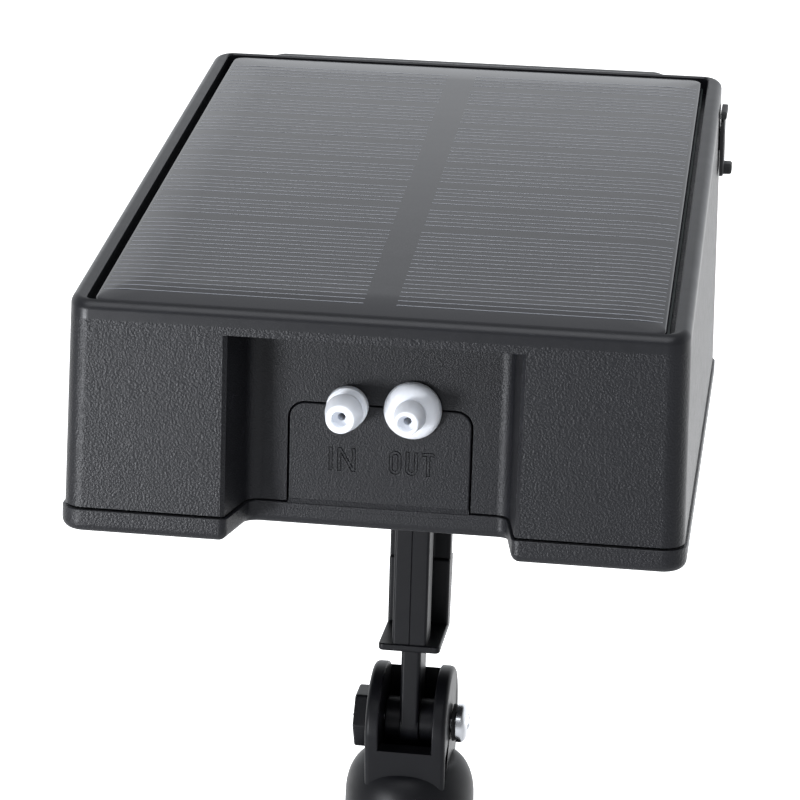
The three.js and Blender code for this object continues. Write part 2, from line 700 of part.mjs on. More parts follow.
// ---------------------------------------------------------------- hose fittings and pump

const pumpFront = recessInner + HOSE_RUN;
const pumpAxisHeight = COVER_FLOOR + PUMP_BED + PUMP_SIZE / 2;
const diaphragmFront = pumpFront + VALVE_HEAD_LENGTH + GAP;
const housingFront = diaphragmFront + DIAPHRAGM_THICKNESS + GAP;
const motorFront = housingFront + HOUSING_LENGTH + GAP;

/** A hose fitting: barb outside, flange on the recess's back wall, shank and inner spigot. */
function fitting(nose, barb, flange) {
  const tip = recessBack - PORT_REACH;
  const inner = recessInner + HOSE_RUN * 0.45;
  const bore = PORT_BORE / 2;
  return turnedAlongY([
    [bore, tip], [nose - 0.3, tip], [nose, tip + 0.3], [barb, tip + 4.2], [barb, tip + 4.8],
    [barb - 0.6, tip + 5.1],
    ...flange.map(([r, fromWall]) => [r, recessBack - GAP - fromWall]),
    [SHANK_DIAMETER / 2, recessBack - GAP], [SHANK_DIAMETER / 2, recessInner + GAP],
    [SPIGOT_DIAMETER / 2 + 1.1, recessInner + GAP], [SPIGOT_DIAMETER / 2 + 1.1, recessInner + GAP + 1],
    [SPIGOT_DIAMETER / 2, recessInner + GAP + 1], [SPIGOT_DIAMETER / 2, inner],
    [bore, inner], [bore, tip],
  ], 18);
}

const INLET_NOSE = 2.6;
const INLET_BARB = 3.4;
const INLET_FLANGE = [[2.7, 1.9], [3.7, 1.6], [3.7, 0]];
const OUTLET_NOSE = 2.2;
const OUTLET_BARB = 2.9;
const OUTLET_FLANGE = [[2.3, 3], [3.1, 2.9], [4.4, 2.2], [5, 1.2], [5.15, 0.3], [5.15, 0]];

/** The short silicone hose between a fitting and the pump. */
function innerHose() {
  const inner = SPIGOT_DIAMETER / 2 + GAP;
  const from = recessInner + 2 * GAP + 1;
  const to = pumpFront - GAP;
  return turnedAlongY([
    [inner, from], [inner + HOSE_WALL, from], [inner + HOSE_WALL, to], [inner, to], [inner, from],
  ], 20);
}

/** A square pump plate with round corners between two places along the case. */
function pumpBlock(from, to, size = PUMP_SIZE) {
  return slabAlong(roundedPlate(-size / 2, size / 2, -size / 2, size / 2, 3), from, to)
    .translate(0, 0, pumpAxisHeight);
}

/** The valve head with its two spigots. */
function valveHead() {
  const reach = HOSE_RUN * 0.4;
  const spigots = portXs.map((x) => (
    rod('y', SPIGOT_DIAMETER / 2, pumpFront - reach, pumpFront + 1, x, PORT_HEIGHT, 20)));
  const bores = portXs.map((x) => (
    rod('y', 1.1, pumpFront - REACH, pumpFront + VALVE_HEAD_LENGTH / 2, x, PORT_HEIGHT, 12)));
  return cut(join(pumpBlock(pumpFront, pumpFront + VALVE_HEAD_LENGTH), ...spigots), ...bores);
}

/** The housing round the crank, open at the diaphragm's side. */
function pumpHousing() {
  const room = rod(
    'y', PUMP_SIZE / 2 - HOUSING_WALL, housingFront - 1, housingFront + HOUSING_LENGTH - HOUSING_WALL,
    0, pumpAxisHeight, 24);
  const shaftHole = rod('y', 2.2, housingFront, housingFront + HOUSING_LENGTH + 1, 0, pumpAxisHeight, 16);
  return cut(pumpBlock(housingFront, housingFront + HOUSING_LENGTH), room, shaftHole);
}

/** The motor's crank: a disc with an offset pin and the shaft behind it. */
function pumpCrank() {
  const disc = housingFront + (HOUSING_LENGTH - HOUSING_WALL - CRANK_LENGTH) / 2;
  return join(
    rod('y', CRANK_DIAMETER / 2, disc, disc + CRANK_LENGTH, 0, pumpAxisHeight, 20),
    rod('y', 1.5, disc - 1.6, disc + 1, CRANK_DIAMETER / 4, pumpAxisHeight, 12),
    rod('y', 1, disc + 1, motorFront - GAP, 0, pumpAxisHeight, 12));
}

/** The motor can with its end cap and two terminals. */
function pumpMotor() {
  const back = motorFront + MOTOR_LENGTH;
  const can = turnedAlongY([
    [0, motorFront], [MOTOR_DIAMETER / 2 - 1, motorFront], [MOTOR_DIAMETER / 2, motorFront + 1],
    [MOTOR_DIAMETER / 2, back - 1], [MOTOR_DIAMETER / 2 - 1, back], [MOTOR_DIAMETER / 2 - 3, back],
    [MOTOR_DIAMETER / 2 - 3, back + 1], [0, back + 1],
  ], 22).translate(0, 0, pumpAxisHeight);
  const terminals = [-1, 1].map((side) => (
    box(side * 5 - 1.2, side * 5 + 1.2, back, back + 4, pumpAxisHeight - 0.4, pumpAxisHeight + 0.4)));
  return join(can, ...terminals);
}

/** The saddle under the motor and the strap over it. */
function pumpSaddle() {
  const y0 = motorFront + MOTOR_LENGTH / 2 - STRAP_WIDTH / 2;
  const seat = MOTOR_DIAMETER / 2 + GAP;
  const block = box(
    -PUMP_SIZE / 2, PUMP_SIZE / 2, y0, y0 + STRAP_WIDTH, COVER_FLOOR + GAP, pumpAxisHeight - GAP);
  return cut(block, rod('y', seat, y0 - 1, y0 + STRAP_WIDTH + 1, 0, pumpAxisHeight, 24));
}

function pumpStrap() {
  const y0 = motorFront + MOTOR_LENGTH / 2 - STRAP_WIDTH / 2;
  const seat = MOTOR_DIAMETER / 2 + GAP;
  const ring = rod('y', seat + STRAP_THICKNESS, y0, y0 + STRAP_WIDTH, 0, pumpAxisHeight, 24);
  const feet = box(
    -PUMP_SIZE / 2, PUMP_SIZE / 2, y0, y0 + STRAP_WIDTH, pumpAxisHeight, pumpAxisHeight + STRAP_THICKNESS);
  return cut(
    join(ring, feet),
    rod('y', seat, y0 - 1, y0 + STRAP_WIDTH + 1, 0, pumpAxisHeight, 24),
    box(-REACH, REACH, y0 - 1, y0 + STRAP_WIDTH + 1, -REACH, pumpAxisHeight));
}

// ---------------------------------------------------------------- battery

// The cell lies along the case, midway between the pump and the long wall's pillars.
const pillarInner = HALF_WIDTH - pillarInset - PILLAR_DIAMETER / 2;
const batteryX = -(PUMP_SIZE / 2 + pillarInner) / 2;
const batteryHeight = COVER_FLOOR + BATTERY_BED + GAP + BATTERY_DIAMETER / 2;
const batteryFront = recessInner + BATTERY_FROM_RECESS + BATTERY_WALL + GAP;

function batteryCell() {
  const radius = BATTERY_DIAMETER / 2;
  const back = batteryFront + BATTERY_LENGTH;
  return turnedAlongY([
    [0, batteryFront], [radius - 0.8, batteryFront], [radius, batteryFront + 0.8], [radius, back - 1.6],
    [radius - 0.8, back - 0.8], [3, back - 0.8], [3, back], [0, back],
  ], 20).translate(batteryX, 0, batteryHeight);
}

/** An open-topped cradle with a wall at each end of the cell. */
function batteryCradle() {
  const half = BATTERY_DIAMETER / 2 + GAP;
  const y0 = batteryFront - GAP;
  const y1 = batteryFront + BATTERY_LENGTH + GAP;
  const block = box(
    batteryX - half - BATTERY_WALL, batteryX + half + BATTERY_WALL, y0 - BATTERY_WALL, y1 + BATTERY_WALL,
    COVER_FLOOR + GAP, batteryHeight + 3);
  const seat = join(
    rod('y', half, y0, y1, batteryX, batteryHeight, 28),
    box(batteryX - half, batteryX + half, y0, y1, batteryHeight, REACH));
  return cut(block, seat);
}

// ---------------------------------------------------------------- control face

/** The label plate on the far wall, with holes for the buttons and the light. */
function controlPlate() {
  const plate = slab(roundedPlate(
    -PLATE_HALF_WIDTH, PLATE_HALF_WIDTH, -PLATE_DROP - PLATE_HEIGHT, -PLATE_DROP, 3),
  GAP, GAP + PLATE_THICKNESS);
  const middle = -PLATE_DROP - PLATE_HEIGHT / 2;
  return cut(
    plate,
    box(
      WINDOW_OFFSET - WINDOW_HALF_WIDTH, WINDOW_OFFSET + WINDOW_HALF_WIDTH,
      middle - WINDOW_HEIGHT / 2, middle + WINDOW_HEIGHT / 2, -1, REACH),
    ...buttonHeights().map((y) => rod('z', BUTTON_DIAMETER / 2 + GAP, -1, REACH, BUTTON_OFFSET, y)),
    rod('z', LENS_DIAMETER / 2 + GAP, -1, REACH, lensPlace().x, lensPlace().y, 16));
}

/** The clear window in the plate and the wall. */
function displayWindow() {
  const middle = -PLATE_DROP - PLATE_HEIGHT / 2;
  return slab(roundedPlate(
    WINDOW_OFFSET - WINDOW_HALF_WIDTH + GAP, WINDOW_OFFSET + WINDOW_HALF_WIDTH - GAP,
    middle - WINDOW_HEIGHT / 2 + GAP, middle + WINDOW_HEIGHT / 2 - GAP, 0.8),
  -WALL + 0.4, GAP + PLATE_THICKNESS);
}

/** The display behind the window. */
function displayModule() {
  const middle = -PLATE_DROP - PLATE_HEIGHT / 2;
  return box(
    WINDOW_OFFSET - WINDOW_HALF_WIDTH - 1.5, WINDOW_OFFSET + WINDOW_HALF_WIDTH + 1.5,
    middle - WINDOW_HEIGHT / 2 - 1.5, middle + WINDOW_HEIGHT / 2 + 1.5, -BOARD_DEPTH + GAP, -WALL - 1);
}

/** A button: cap through the wall, flange behind it and a stem towards its switch. */
function button(y) {
  const radius = BUTTON_DIAMETER / 2;
  const top = GAP + PLATE_THICKNESS + BUTTON_PROUD;
  const back = -WALL - 2 * GAP;
  const stem = -BOARD_DEPTH + SWITCH_HEIGHT + BUTTON_TRAVEL + GAP;
  return turnedAlongZ([
    [0, stem], [1.5, stem], [1.5, back - 1], [radius + BUTTON_FLANGE, back - 1],
    [radius + BUTTON_FLANGE, back], [radius, back],
    [radius, top - 0.5], [radius - 0.5, top], [0, top],
  ], 20).translate(BUTTON_OFFSET, y, 0);
}

/** A tact switch on the board: square body and round plunger. */
function tactSwitch(y) {
  const half = SWITCH_SIZE / 2;
  return join(
    box(
      BUTTON_OFFSET - half, BUTTON_OFFSET + half, y - half, y + half,
      -BOARD_DEPTH + GAP, -BOARD_DEPTH + SWITCH_HEIGHT - 1),
    rod('z', 1.6, -BOARD_DEPTH + 1, -BOARD_DEPTH + SWITCH_HEIGHT, BUTTON_OFFSET, y, 16));
}

/** The status light's lens. */
function statusLens() {
  const radius = LENS_DIAMETER / 2;
  const top = GAP + PLATE_THICKNESS + 0.3;
  return turnedAlongZ([
    [0, -BOARD_DEPTH + GAP], [radius, -BOARD_DEPTH + GAP],
    [radius, top - 0.6], [radius * 0.6, top - 0.15], [0, top],
  ], 16).translate(lensPlace().x, lensPlace().y, 0);
}

/** The board parallel to the far wall. */
function circuitBoard() {
  const top = -(FAR_HEIGHT - deckUnderside(CASE_LENGTH - WALL - BOARD_DEPTH)) - 1.5;
  const foot = -(FAR_HEIGHT - COVER_HEIGHT - LIP_HEIGHT) + 3;
  return slab(
    roundedPlate(-boardHalfWidth, boardHalfWidth, foot, top, 1.5),
    -BOARD_DEPTH - BOARD_THICKNESS, -BOARD_DEPTH);
}

// ---------------------------------------------------------------- charging port

/** The metal charging socket behind the flap. */
function chargingSocket() {
  const half = SOCKET_WIDTH / 2;
  const shell = slab(socketOpening(0), -WALL - SOCKET_DEPTH, -WALL - GAP);
  const mouth = slab(roundedPlate(
    -half + 0.5, half - 0.5, -SOCKET_HEIGHT / 2 + 0.5, SOCKET_HEIGHT / 2 - 0.5, 0.8),
  -WALL - SOCKET_DEPTH + 1, 0);
  const contact = box(-half + 1.4, half - 1.4, -0.35, 0.35, -WALL - SOCKET_DEPTH + 0.5, -WALL - 1.5);
  return join(cut(shell, mouth), contact);
}

/** The socket's own small board on the side wall. */
function socketBoard() {
  const half = SOCKET_WIDTH / 2;
  return box(
    -half - 1, half + 1, -SOCKET_HEIGHT / 2 - 1.6 - GAP, -SOCKET_HEIGHT / 2 - GAP,
    -WALL - SOCKET_DEPTH - SOCKET_BOARD_REACH, -WALL - 2 * GAP);
}

const flapTop = FLAP_HEIGHT / 2;

/** The rubber flap over the socket, with its plug and pull tab, hinged along its top edge. */
function portFlap() {
  const half = FLAP_LENGTH / 2;
  const cover = slab(
    roundedPlate(-half, half, -flapTop, flapTop - FLAP_ANCHOR - GAP, 1.2), GAP, GAP + FLAP_THICKNESS);
  const tab = box(-half * 0.45, half * 0.45, -flapTop, -flapTop + 2.2, GAP + 0.2, GAP + FLAP_TAB);
  const plug = slab(socketOpening(-GAP), -1.2, GAP + 0.2);
  const notch = box(half - 1, half + 1, -0.8, 0.8, -1, REACH);
  return cut(join(cover, tab, plug), notch);
}

/** The flap's fixed root along its top edge. */
function flapAnchor() {
  const half = FLAP_LENGTH / 2;
  return slab(
    roundedPlate(-half, half, flapTop - FLAP_ANCHOR, flapTop, 0.5), GAP, GAP + FLAP_THICKNESS + 0.4);
}

// ---------------------------------------------------------------- post and hinge

/** The post's ribbed section: a narrow front bar, a web and a wide rear flange. */
function postSection() {
  const front = -POST_DEPTH / 2;
  const bar = front + POST_FRONT_DEPTH;
  const flange = POST_DEPTH / 2 - POST_REAR_DEPTH;
  const points = [
    [POST_FRONT_HALF_WIDTH, front], [POST_FRONT_HALF_WIDTH, bar], [POST_WEB_HALF_WIDTH, bar + 0.8],
    [POST_WEB_HALF_WIDTH, flange], [POST_HALF_WIDTH, flange], [POST_HALF_WIDTH, POST_DEPTH / 2],
  ];
  const outline = [...points, ...points.map(([x, y]) => [-x, y]).reverse()];
  return new THREE.Shape(outline.map(([x, y]) => new THREE.Vector2(x, y)));
}

/** The post: ribbed shank, collar with gussets, tongue and hinge hub. */
function post() {
  const hubHalf = EAR_SPACING / 2 - GAP;
  const shank = slab(postSection(), -POST_LENGTH - 1, -GAP);
  const collar = box(
    -POST_HALF_WIDTH, POST_HALF_WIDTH, -POST_DEPTH / 2 - COLLAR_LIP, POST_DEPTH / 2,
    -POST_LENGTH - COLLAR_THICKNESS, -POST_LENGTH);
  const gussetOutline = new THREE.Shape([
    new THREE.Vector2(POST_DEPTH / 2 - 4, -POST_LENGTH),
    new THREE.Vector2(POST_DEPTH / 2, -POST_LENGTH),
    new THREE.Vector2(POST_DEPTH / 2 + GUSSET_REACH, -POST_LENGTH + GUSSET_HEIGHT - 4),
    new THREE.Vector2(POST_DEPTH / 2 + GUSSET_REACH, -POST_LENGTH + GUSSET_HEIGHT),
    new THREE.Vector2(POST_DEPTH / 2 - 4, -POST_LENGTH + GUSSET_HEIGHT),
  ]);
  const gusset = slabAcross(gussetOutline, -POST_HALF_WIDTH, POST_HALF_WIDTH);
  const tongue = box(
    -TONGUE_THICKNESS / 2, TONGUE_THICKNESS / 2, -TONGUE_HALF_DEPTH, TONGUE_HALF_DEPTH,
    -HINGE_DROP, -POST_LENGTH - COLLAR_THICKNESS + 0.5);
  const eye = rod('x', TONGUE_HALF_DEPTH, -TONGUE_THICKNESS / 2, TONGUE_THICKNESS / 2, 0, -HINGE_DROP, 28);
  const hub = rod('x', HUB_DIAMETER / 2, -hubHalf, hubHalf, 0, -HINGE_DROP, 28);
  const hole = rod('x', HINGE_SCREW_DIAMETER / 2 + GAP, -REACH, REACH, 0, -HINGE_DROP, 20);
  const screwHole = rod(
    'y', POST_SCREW_DIAMETER / 2 + GAP, POST_DEPTH / 2 - 9.5, REACH, 0, -POST_HOUSED / 2, 16);
  return cut(join(shank, collar, gusset, tongue, eye, hub), hole, screwHole)
    .translate(0, HINGE_FROM_NEAR, 0);
}

/** The screw through the socket's rear wall into the post. */
function postScrew() {
  const wallFace = HINGE_FROM_NEAR + POST_DEPTH / 2 + GAP + SOCKET_WALL;
  return upwardScrew(6.4, 2.2, POST_SCREW_DIAMETER, 11)
    .rotateX(Math.PI / 2)
    .translate(0, wallFace + GAP, -POST_HOUSED / 2);
}

// ---------------------------------------------------------------- fork, hinge hardware and spike

const earFace = EAR_SPACING / 2 + EAR_THICKNESS;
const nutSeat = earFace + NUT_BOSS_HEIGHT - NUT_HEIGHT - GAP;
const sleeveFoot = SHOULDER_PLATE_THICKNESS + GAP;
const boreRadius = SLEEVE_RADIUS - SLEEVE_WALL;

/** The forked head: two ears with a web behind, a neck, a domed shoulder and the sleeve over the peg. */
function forkHead() {
  const side = new THREE.Shape();
  side.moveTo(EAR_RADIUS, 0);
  side.absarc(0, 0, EAR_RADIUS, 0, Math.PI);
  side.lineTo(-NECK_HALF_DEPTH, -SHOULDER_TOP - SHOULDER_DROP / 2);
  side.lineTo(NECK_HALF_DEPTH, -SHOULDER_TOP - SHOULDER_DROP / 2);
  side.closePath();
  const neck = slabAcross(side, -earFace, earFace, 8);
  const crown = SLEEVE_RADIUS * 0.68;
  const shoulder = [0, 1, 2, 3, 4, 5].map((k) => {
    const angle = (k / 5) * (Math.PI / 2);
    return [
      crown + (SLEEVE_RADIUS - crown) * Math.sin(angle),
      -SHOULDER_TOP - SHOULDER_DROP * (1 - Math.cos(angle))];
  });
  const foot = sleeveFoot - HINGE_HEIGHT;
  const sleeve = turnedAlongZ(
    [[0, foot], [SLEEVE_FOOT_RADIUS, foot], ...shoulder.reverse(), [0, -SHOULDER_TOP]], 28);
  const boss = slabAcross(hexagon(NUT_BOSS), -earFace - NUT_BOSS_HEIGHT, -earFace + 0.5);
  const nutPocket = slabAcross(hexagon(NUT_WIDTH + 2 * GAP), -REACH, -nutSeat);
  const slotHalf = EAR_SPACING / 2;
  return cut(
    join(neck, sleeve, boss),
    box(-slotHalf, slotHalf, -REACH, FORK_HOLLOW, -FORK_LIP, REACH),
    rod('x', FORK_HOLLOW, -slotHalf, slotHalf, 0, 0, 32),
    rod('x', HINGE_SCREW_DIAMETER / 2 + GAP, -REACH, REACH, 0, 0, 20),
    nutPocket,
    rod('z', boreRadius, foot - 1, -SLEEVE_CEILING, 0, 0, 32))
    .translate(0, 0, HINGE_HEIGHT);
}

/** The hinge's pan-head screw, from the right. */
function hingeScrew() {
  const seat = earFace + HINGE_WASHER + 2 * GAP;
  const end = earFace + NUT_BOSS_HEIGHT + 1;
  return upwardScrew(HINGE_HEAD_DIAMETER, HINGE_HEAD_HEIGHT, HINGE_SCREW_DIAMETER, seat + end)
    .rotateY(-Math.PI / 2)
    .translate(seat, 0, HINGE_HEIGHT);
}

/** The dark washer between the ear and the screw's head. */
function hingeWasher() {
  const x0 = earFace + GAP;
  return cut(
    rod('x', HINGE_HEAD_DIAMETER / 2 - 0.2, x0, x0 + HINGE_WASHER, 0, HINGE_HEIGHT, 24),
    rod('x', HINGE_SCREW_DIAMETER / 2 + GAP, -REACH, REACH, 0, HINGE_HEIGHT, 20));
}

/** The captive nut in the left boss. */
function hingeNut() {
  return cut(
    slabAcross(hexagon(NUT_WIDTH), -nutSeat - GAP - NUT_HEIGHT, -nutSeat - GAP),
    rod('x', HINGE_SCREW_DIAMETER / 2 + GAP, -REACH, REACH, 0, 0, 20))
    .translate(0, 0, HINGE_HEIGHT);
}

/** The cross-bladed spike with its ground plate and the peg that the sleeve slides over. */
function groundSpike() {
  const outline = new THREE.Shape([
    new THREE.Vector2(-BLADE_HALF_WIDTH, 0.5),
    new THREE.Vector2(-BLADE_TIP_HALF_WIDTH, -SPIKE_LENGTH + SPIKE_POINT),
    new THREE.Vector2(0, -SPIKE_LENGTH),
    new THREE.Vector2(BLADE_TIP_HALF_WIDTH, -SPIKE_LENGTH + SPIKE_POINT),
    new THREE.Vector2(BLADE_HALF_WIDTH, 0.5),
  ]);
  const half = BLADE_THICKNESS / 2;
  const blade = slabAlong(outline, -half, half);
  const pegHalf = boreRadius - GAP;
  const pegTop = SHOULDER_PLATE_THICKNESS + PEG_LENGTH;
  const peg = box(-pegHalf, pegHalf, -half, half, 1, pegTop);
  return join(
    rod('z', SHOULDER_PLATE_RADIUS, 0, SHOULDER_PLATE_THICKNESS, 0, 0, 36),
    blade, blade.clone().rotateZ(Math.PI / 2), peg, peg.clone().rotateZ(Math.PI / 2));
}

// ---------------------------------------------------------------- leads inside the case

const LEAD_RADIUS = 0.8;

/** A wire from point to point, as one tube. */
function lead(points) {
  const path = new THREE.CatmullRomCurve3(points.map(([x, y, z]) => new THREE.Vector3(x, y, z)));
  const section = new THREE.Shape();
  section.absarc(0, 0, LEAD_RADIUS, 0, 2 * Math.PI);
  return new THREE.ExtrudeGeometry(
    section, { steps: 10, curveSegments: 3, extrudePath: path, bevelEnabled: false });
}

const boardBack = farFace(FAR_HEIGHT / 2) - BOARD_DEPTH - BOARD_THICKNESS;
const leadEnd = boardBack - 2;

function motorLead() {
  const start = motorFront + MOTOR_LENGTH + 5;
  return lead([
    [5, start, pumpAxisHeight], [6, start + 4, pumpAxisHeight],
    [9, leadEnd - 5, pumpAxisHeight + 6], [10, leadEnd, pumpAxisHeight + 6]]);
}

function batteryLead() {
  const start = batteryFront + BATTERY_LENGTH + BATTERY_WALL + 2 * GAP;
  return lead([
    [batteryX, start, batteryHeight], [batteryX, start + 4, batteryHeight + 1],
    [batteryX + 4, leadEnd - 4, batteryHeight + 8], [batteryX + 5, leadEnd, batteryHeight + 8]]);
}

function panelLead() {
  const along = panelLength - LEAD_FROM_FAR;
  const y = along * Math.cos(PANEL_SLOPE);
  const top = deckUnderside(y) - 1;
  return lead([[0, y, top], [0, y + 1, top - 5], [-3, leadEnd - 5, top - 9], [-4, leadEnd, top - 9]]);
}

// ---------------------------------------------------------------- assembly

const object = new THREE.Group();

const stake = new THREE.Group();
object.add(stake);
add(stake, 'fork_head', forkHead(), FINISH.grainedPlastic);
add(stake, 'hinge_screw', hingeScrew(), FINISH.steel);
add(stake, 'hinge_washer', hingeWasher(), FINISH.rubber);
add(stake, 'hinge_nut', hingeNut(), FINISH.steel);
add(stake, 'ground_spike', groundSpike(), FINISH.grainedPlastic);

const head = new THREE.Group();
head.position.set(0, -HINGE_FROM_NEAR, HINGE_HEIGHT + HINGE_DROP);
object.add(head);
add(head, 'post', post(), FINISH.grainedPlastic);
add(head, 'post_screw', postScrew(), FINISH.steel);
add(head, 'upper_shell', upperShell(), FINISH.grainedPlastic);
add(head, 'base_cover', baseCover(), FINISH.grainedPlastic);
add(head, 'case_seal', caseSeal(), FINISH.rubber);
screwPlaces.forEach(([x, y], k) => {
  const screw = upwardScrew(SCREW_HEAD, SCREW_HEAD_HEIGHT, SCREW_DIAMETER, SCREW_LENGTH);
  add(head, `case_screw_${k + 1}`, screw, FINISH.steel)
    .position.set(x, y, SCREW_HEAD_SINK + SCREW_HEAD_HEIGHT);
});

const panel = new THREE.Group();
panel.applyMatrix4(panelFrame);
head.add(panel);
const backingFoot = -POCKET_DEPTH + GAP / 2;
add(
  panel, 'panel_backing',
  panelLayer(panelHalfWidth, GAP, backingFoot, backingFoot + BACKING), FINISH.backing);
add(panel, 'solar_cell_left', cellColumn(-1), FINISH.cell);
add(panel, 'solar_cell_right', cellColumn(1), FINISH.cell);
add(panel, 'panel_resin', resinLayer(), FINISH.resin);

add(head, 'inlet_fitting', fitting(INLET_NOSE, INLET_BARB, INLET_FLANGE), FINISH.whitePlastic)
  .position.set(portXs[0], 0, PORT_HEIGHT);
add(head, 'outlet_fitting', fitting(OUTLET_NOSE, OUTLET_BARB, OUTLET_FLANGE), FINISH.whitePlastic)
  .position.set(portXs[1], 0, PORT_HEIGHT);
add(head, 'inlet_hose', innerHose(), FINISH.silicone).position.set(portXs[0], 0, PORT_HEIGHT);
add(head, 'outlet_hose', innerHose(), FINISH.silicone).position.set(portXs[1], 0, PORT_HEIGHT);
add(head, 'pump_valve_head', valveHead(), FINISH.pumpPlastic);
add(head, 'pump_diaphragm', pumpBlock(diaphragmFront, diaphragmFront + DIAPHRAGM_THICKNESS), FINISH.rubber);
add(head, 'pump_housing', pumpHousing(), FINISH.pumpPlastic);
add(head, 'pump_crank', pumpCrank(), FINISH.steel);
add(head, 'pump_motor', pumpMotor(), FINISH.motorSteel);
add(head, 'pump_saddle', pumpSaddle(), FINISH.pumpPlastic);
add(head, 'pump_strap', pumpStrap(), FINISH.steel);
add(head, 'battery_cell', batteryCell(), FINISH.battery);
add(head, 'battery_cradle', batteryCradle(), FINISH.pumpPlastic);
add(head, 'motor_lead', motorLead(), FINISH.rubber);
add(head, 'battery_lead', batteryLead(), FINISH.rubber);
add(head, 'panel_lead', panelLead(), FINISH.rubber);

const controls = new THREE.Group();
controls.applyMatrix4(controlFrame);
head.add(controls);
add(controls, 'control_plate', controlPlate(), FINISH.controlFilm);
add(controls, 'display_window', displayWindow(), FINISH.clear);
add(controls, 'display_module', displayModule(), FINISH.display);
['power', 'timer'].forEach((name, k) => {
  add(controls, `${name}_button`, button(buttonHeights()[k]), FINISH.buttonPlastic);
  add(controls, `${name}_switch`, tactSwitch(buttonHeights()[k]), FINISH.steel);
});
add(controls, 'status_lens', statusLens(), FINISH.lens);
add(controls, 'circuit_board', circuitBoard(), FINISH.board);

const charging = new THREE.Group();
charging.applyMatrix4(flapFrame);
head.add(charging);
add(charging, 'charging_socket', chargingSocket(), FINISH.steel);
add(charging, 'socket_board', socketBoard(), FINISH.board);
add(charging, 'port_flap', portFlap(), FINISH.rubber);
add(charging, 'flap_anchor', flapAnchor(), FINISH.rubber);

export default object;
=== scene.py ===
"""Solar drip-irrigation pump on a tilting ground stake, dressed around its CAD frame.

The case's pieces are drawn in the case's own frame, in millimetres: x across, y from the hose end to the
control end, z up from the underside. They are placed in the shared frame, in metres, when they are finished.
"""

from __future__ import annotations

import json
import logging
import math
from collections.abc import Callable, Sequence
from dataclasses import dataclass, field
from enum import Enum

import bmesh
import bpy
from mathutils import Matrix, Vector

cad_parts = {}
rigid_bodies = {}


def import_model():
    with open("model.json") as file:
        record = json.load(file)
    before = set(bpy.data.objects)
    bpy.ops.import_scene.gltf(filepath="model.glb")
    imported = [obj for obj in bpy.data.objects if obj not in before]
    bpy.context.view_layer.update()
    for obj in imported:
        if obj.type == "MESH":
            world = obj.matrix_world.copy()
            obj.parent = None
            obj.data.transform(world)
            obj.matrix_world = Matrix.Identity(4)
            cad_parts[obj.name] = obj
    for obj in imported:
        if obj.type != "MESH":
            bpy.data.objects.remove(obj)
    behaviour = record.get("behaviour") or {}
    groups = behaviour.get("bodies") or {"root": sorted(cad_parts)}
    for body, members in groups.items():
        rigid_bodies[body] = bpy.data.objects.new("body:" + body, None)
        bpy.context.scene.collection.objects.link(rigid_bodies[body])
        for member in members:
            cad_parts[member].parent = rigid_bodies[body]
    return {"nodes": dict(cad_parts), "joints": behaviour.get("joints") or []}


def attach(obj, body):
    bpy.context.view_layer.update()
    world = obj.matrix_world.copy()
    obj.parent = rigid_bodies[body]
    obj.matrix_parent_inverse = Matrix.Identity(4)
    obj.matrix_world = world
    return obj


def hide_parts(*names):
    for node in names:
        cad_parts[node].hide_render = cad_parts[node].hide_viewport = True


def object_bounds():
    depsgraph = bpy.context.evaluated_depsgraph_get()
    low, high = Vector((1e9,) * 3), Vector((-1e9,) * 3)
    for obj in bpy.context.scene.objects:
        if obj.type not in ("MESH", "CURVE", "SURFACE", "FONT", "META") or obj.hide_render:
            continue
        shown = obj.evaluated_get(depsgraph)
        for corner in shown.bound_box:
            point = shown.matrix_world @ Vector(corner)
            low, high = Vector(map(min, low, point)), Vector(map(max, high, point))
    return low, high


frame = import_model()
cad_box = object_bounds()
log = logging.getLogger("garden_pump")

MM = 0.001
GAP = 0.3
FAR_OFF = 60.0
PILLAR_RADIUS = 3.7

Pair = tuple[float, float]
Ring = list[Vector]


class Axis(Enum):
    """The direction along which an outline is made thick or a profile is turned."""

    X = 0
    Y = 1
    Z = 2

    def point(self, u: float, v: float, along: float) -> Vector:
        """A point from its two flat coordinates and its place along the axis.

        Args:
            u: First flat coordinate: y for X, x for Y and Z.
            v: Second flat coordinate: z for X and Y, y for Z.
            along: Place along the axis.

        Returns:
            The point.
        """
        if self is Axis.X:
            return Vector((along, u, v))
        if self is Axis.Y:
            return Vector((u, along, v))
        return Vector((u, v, along))


@dataclass(frozen=True)
class Corner:
    """A corner of a flat outline, with the radius that rounds it."""

    x: float
    y: float
    radius: float = 0.0
    steps: int = 6


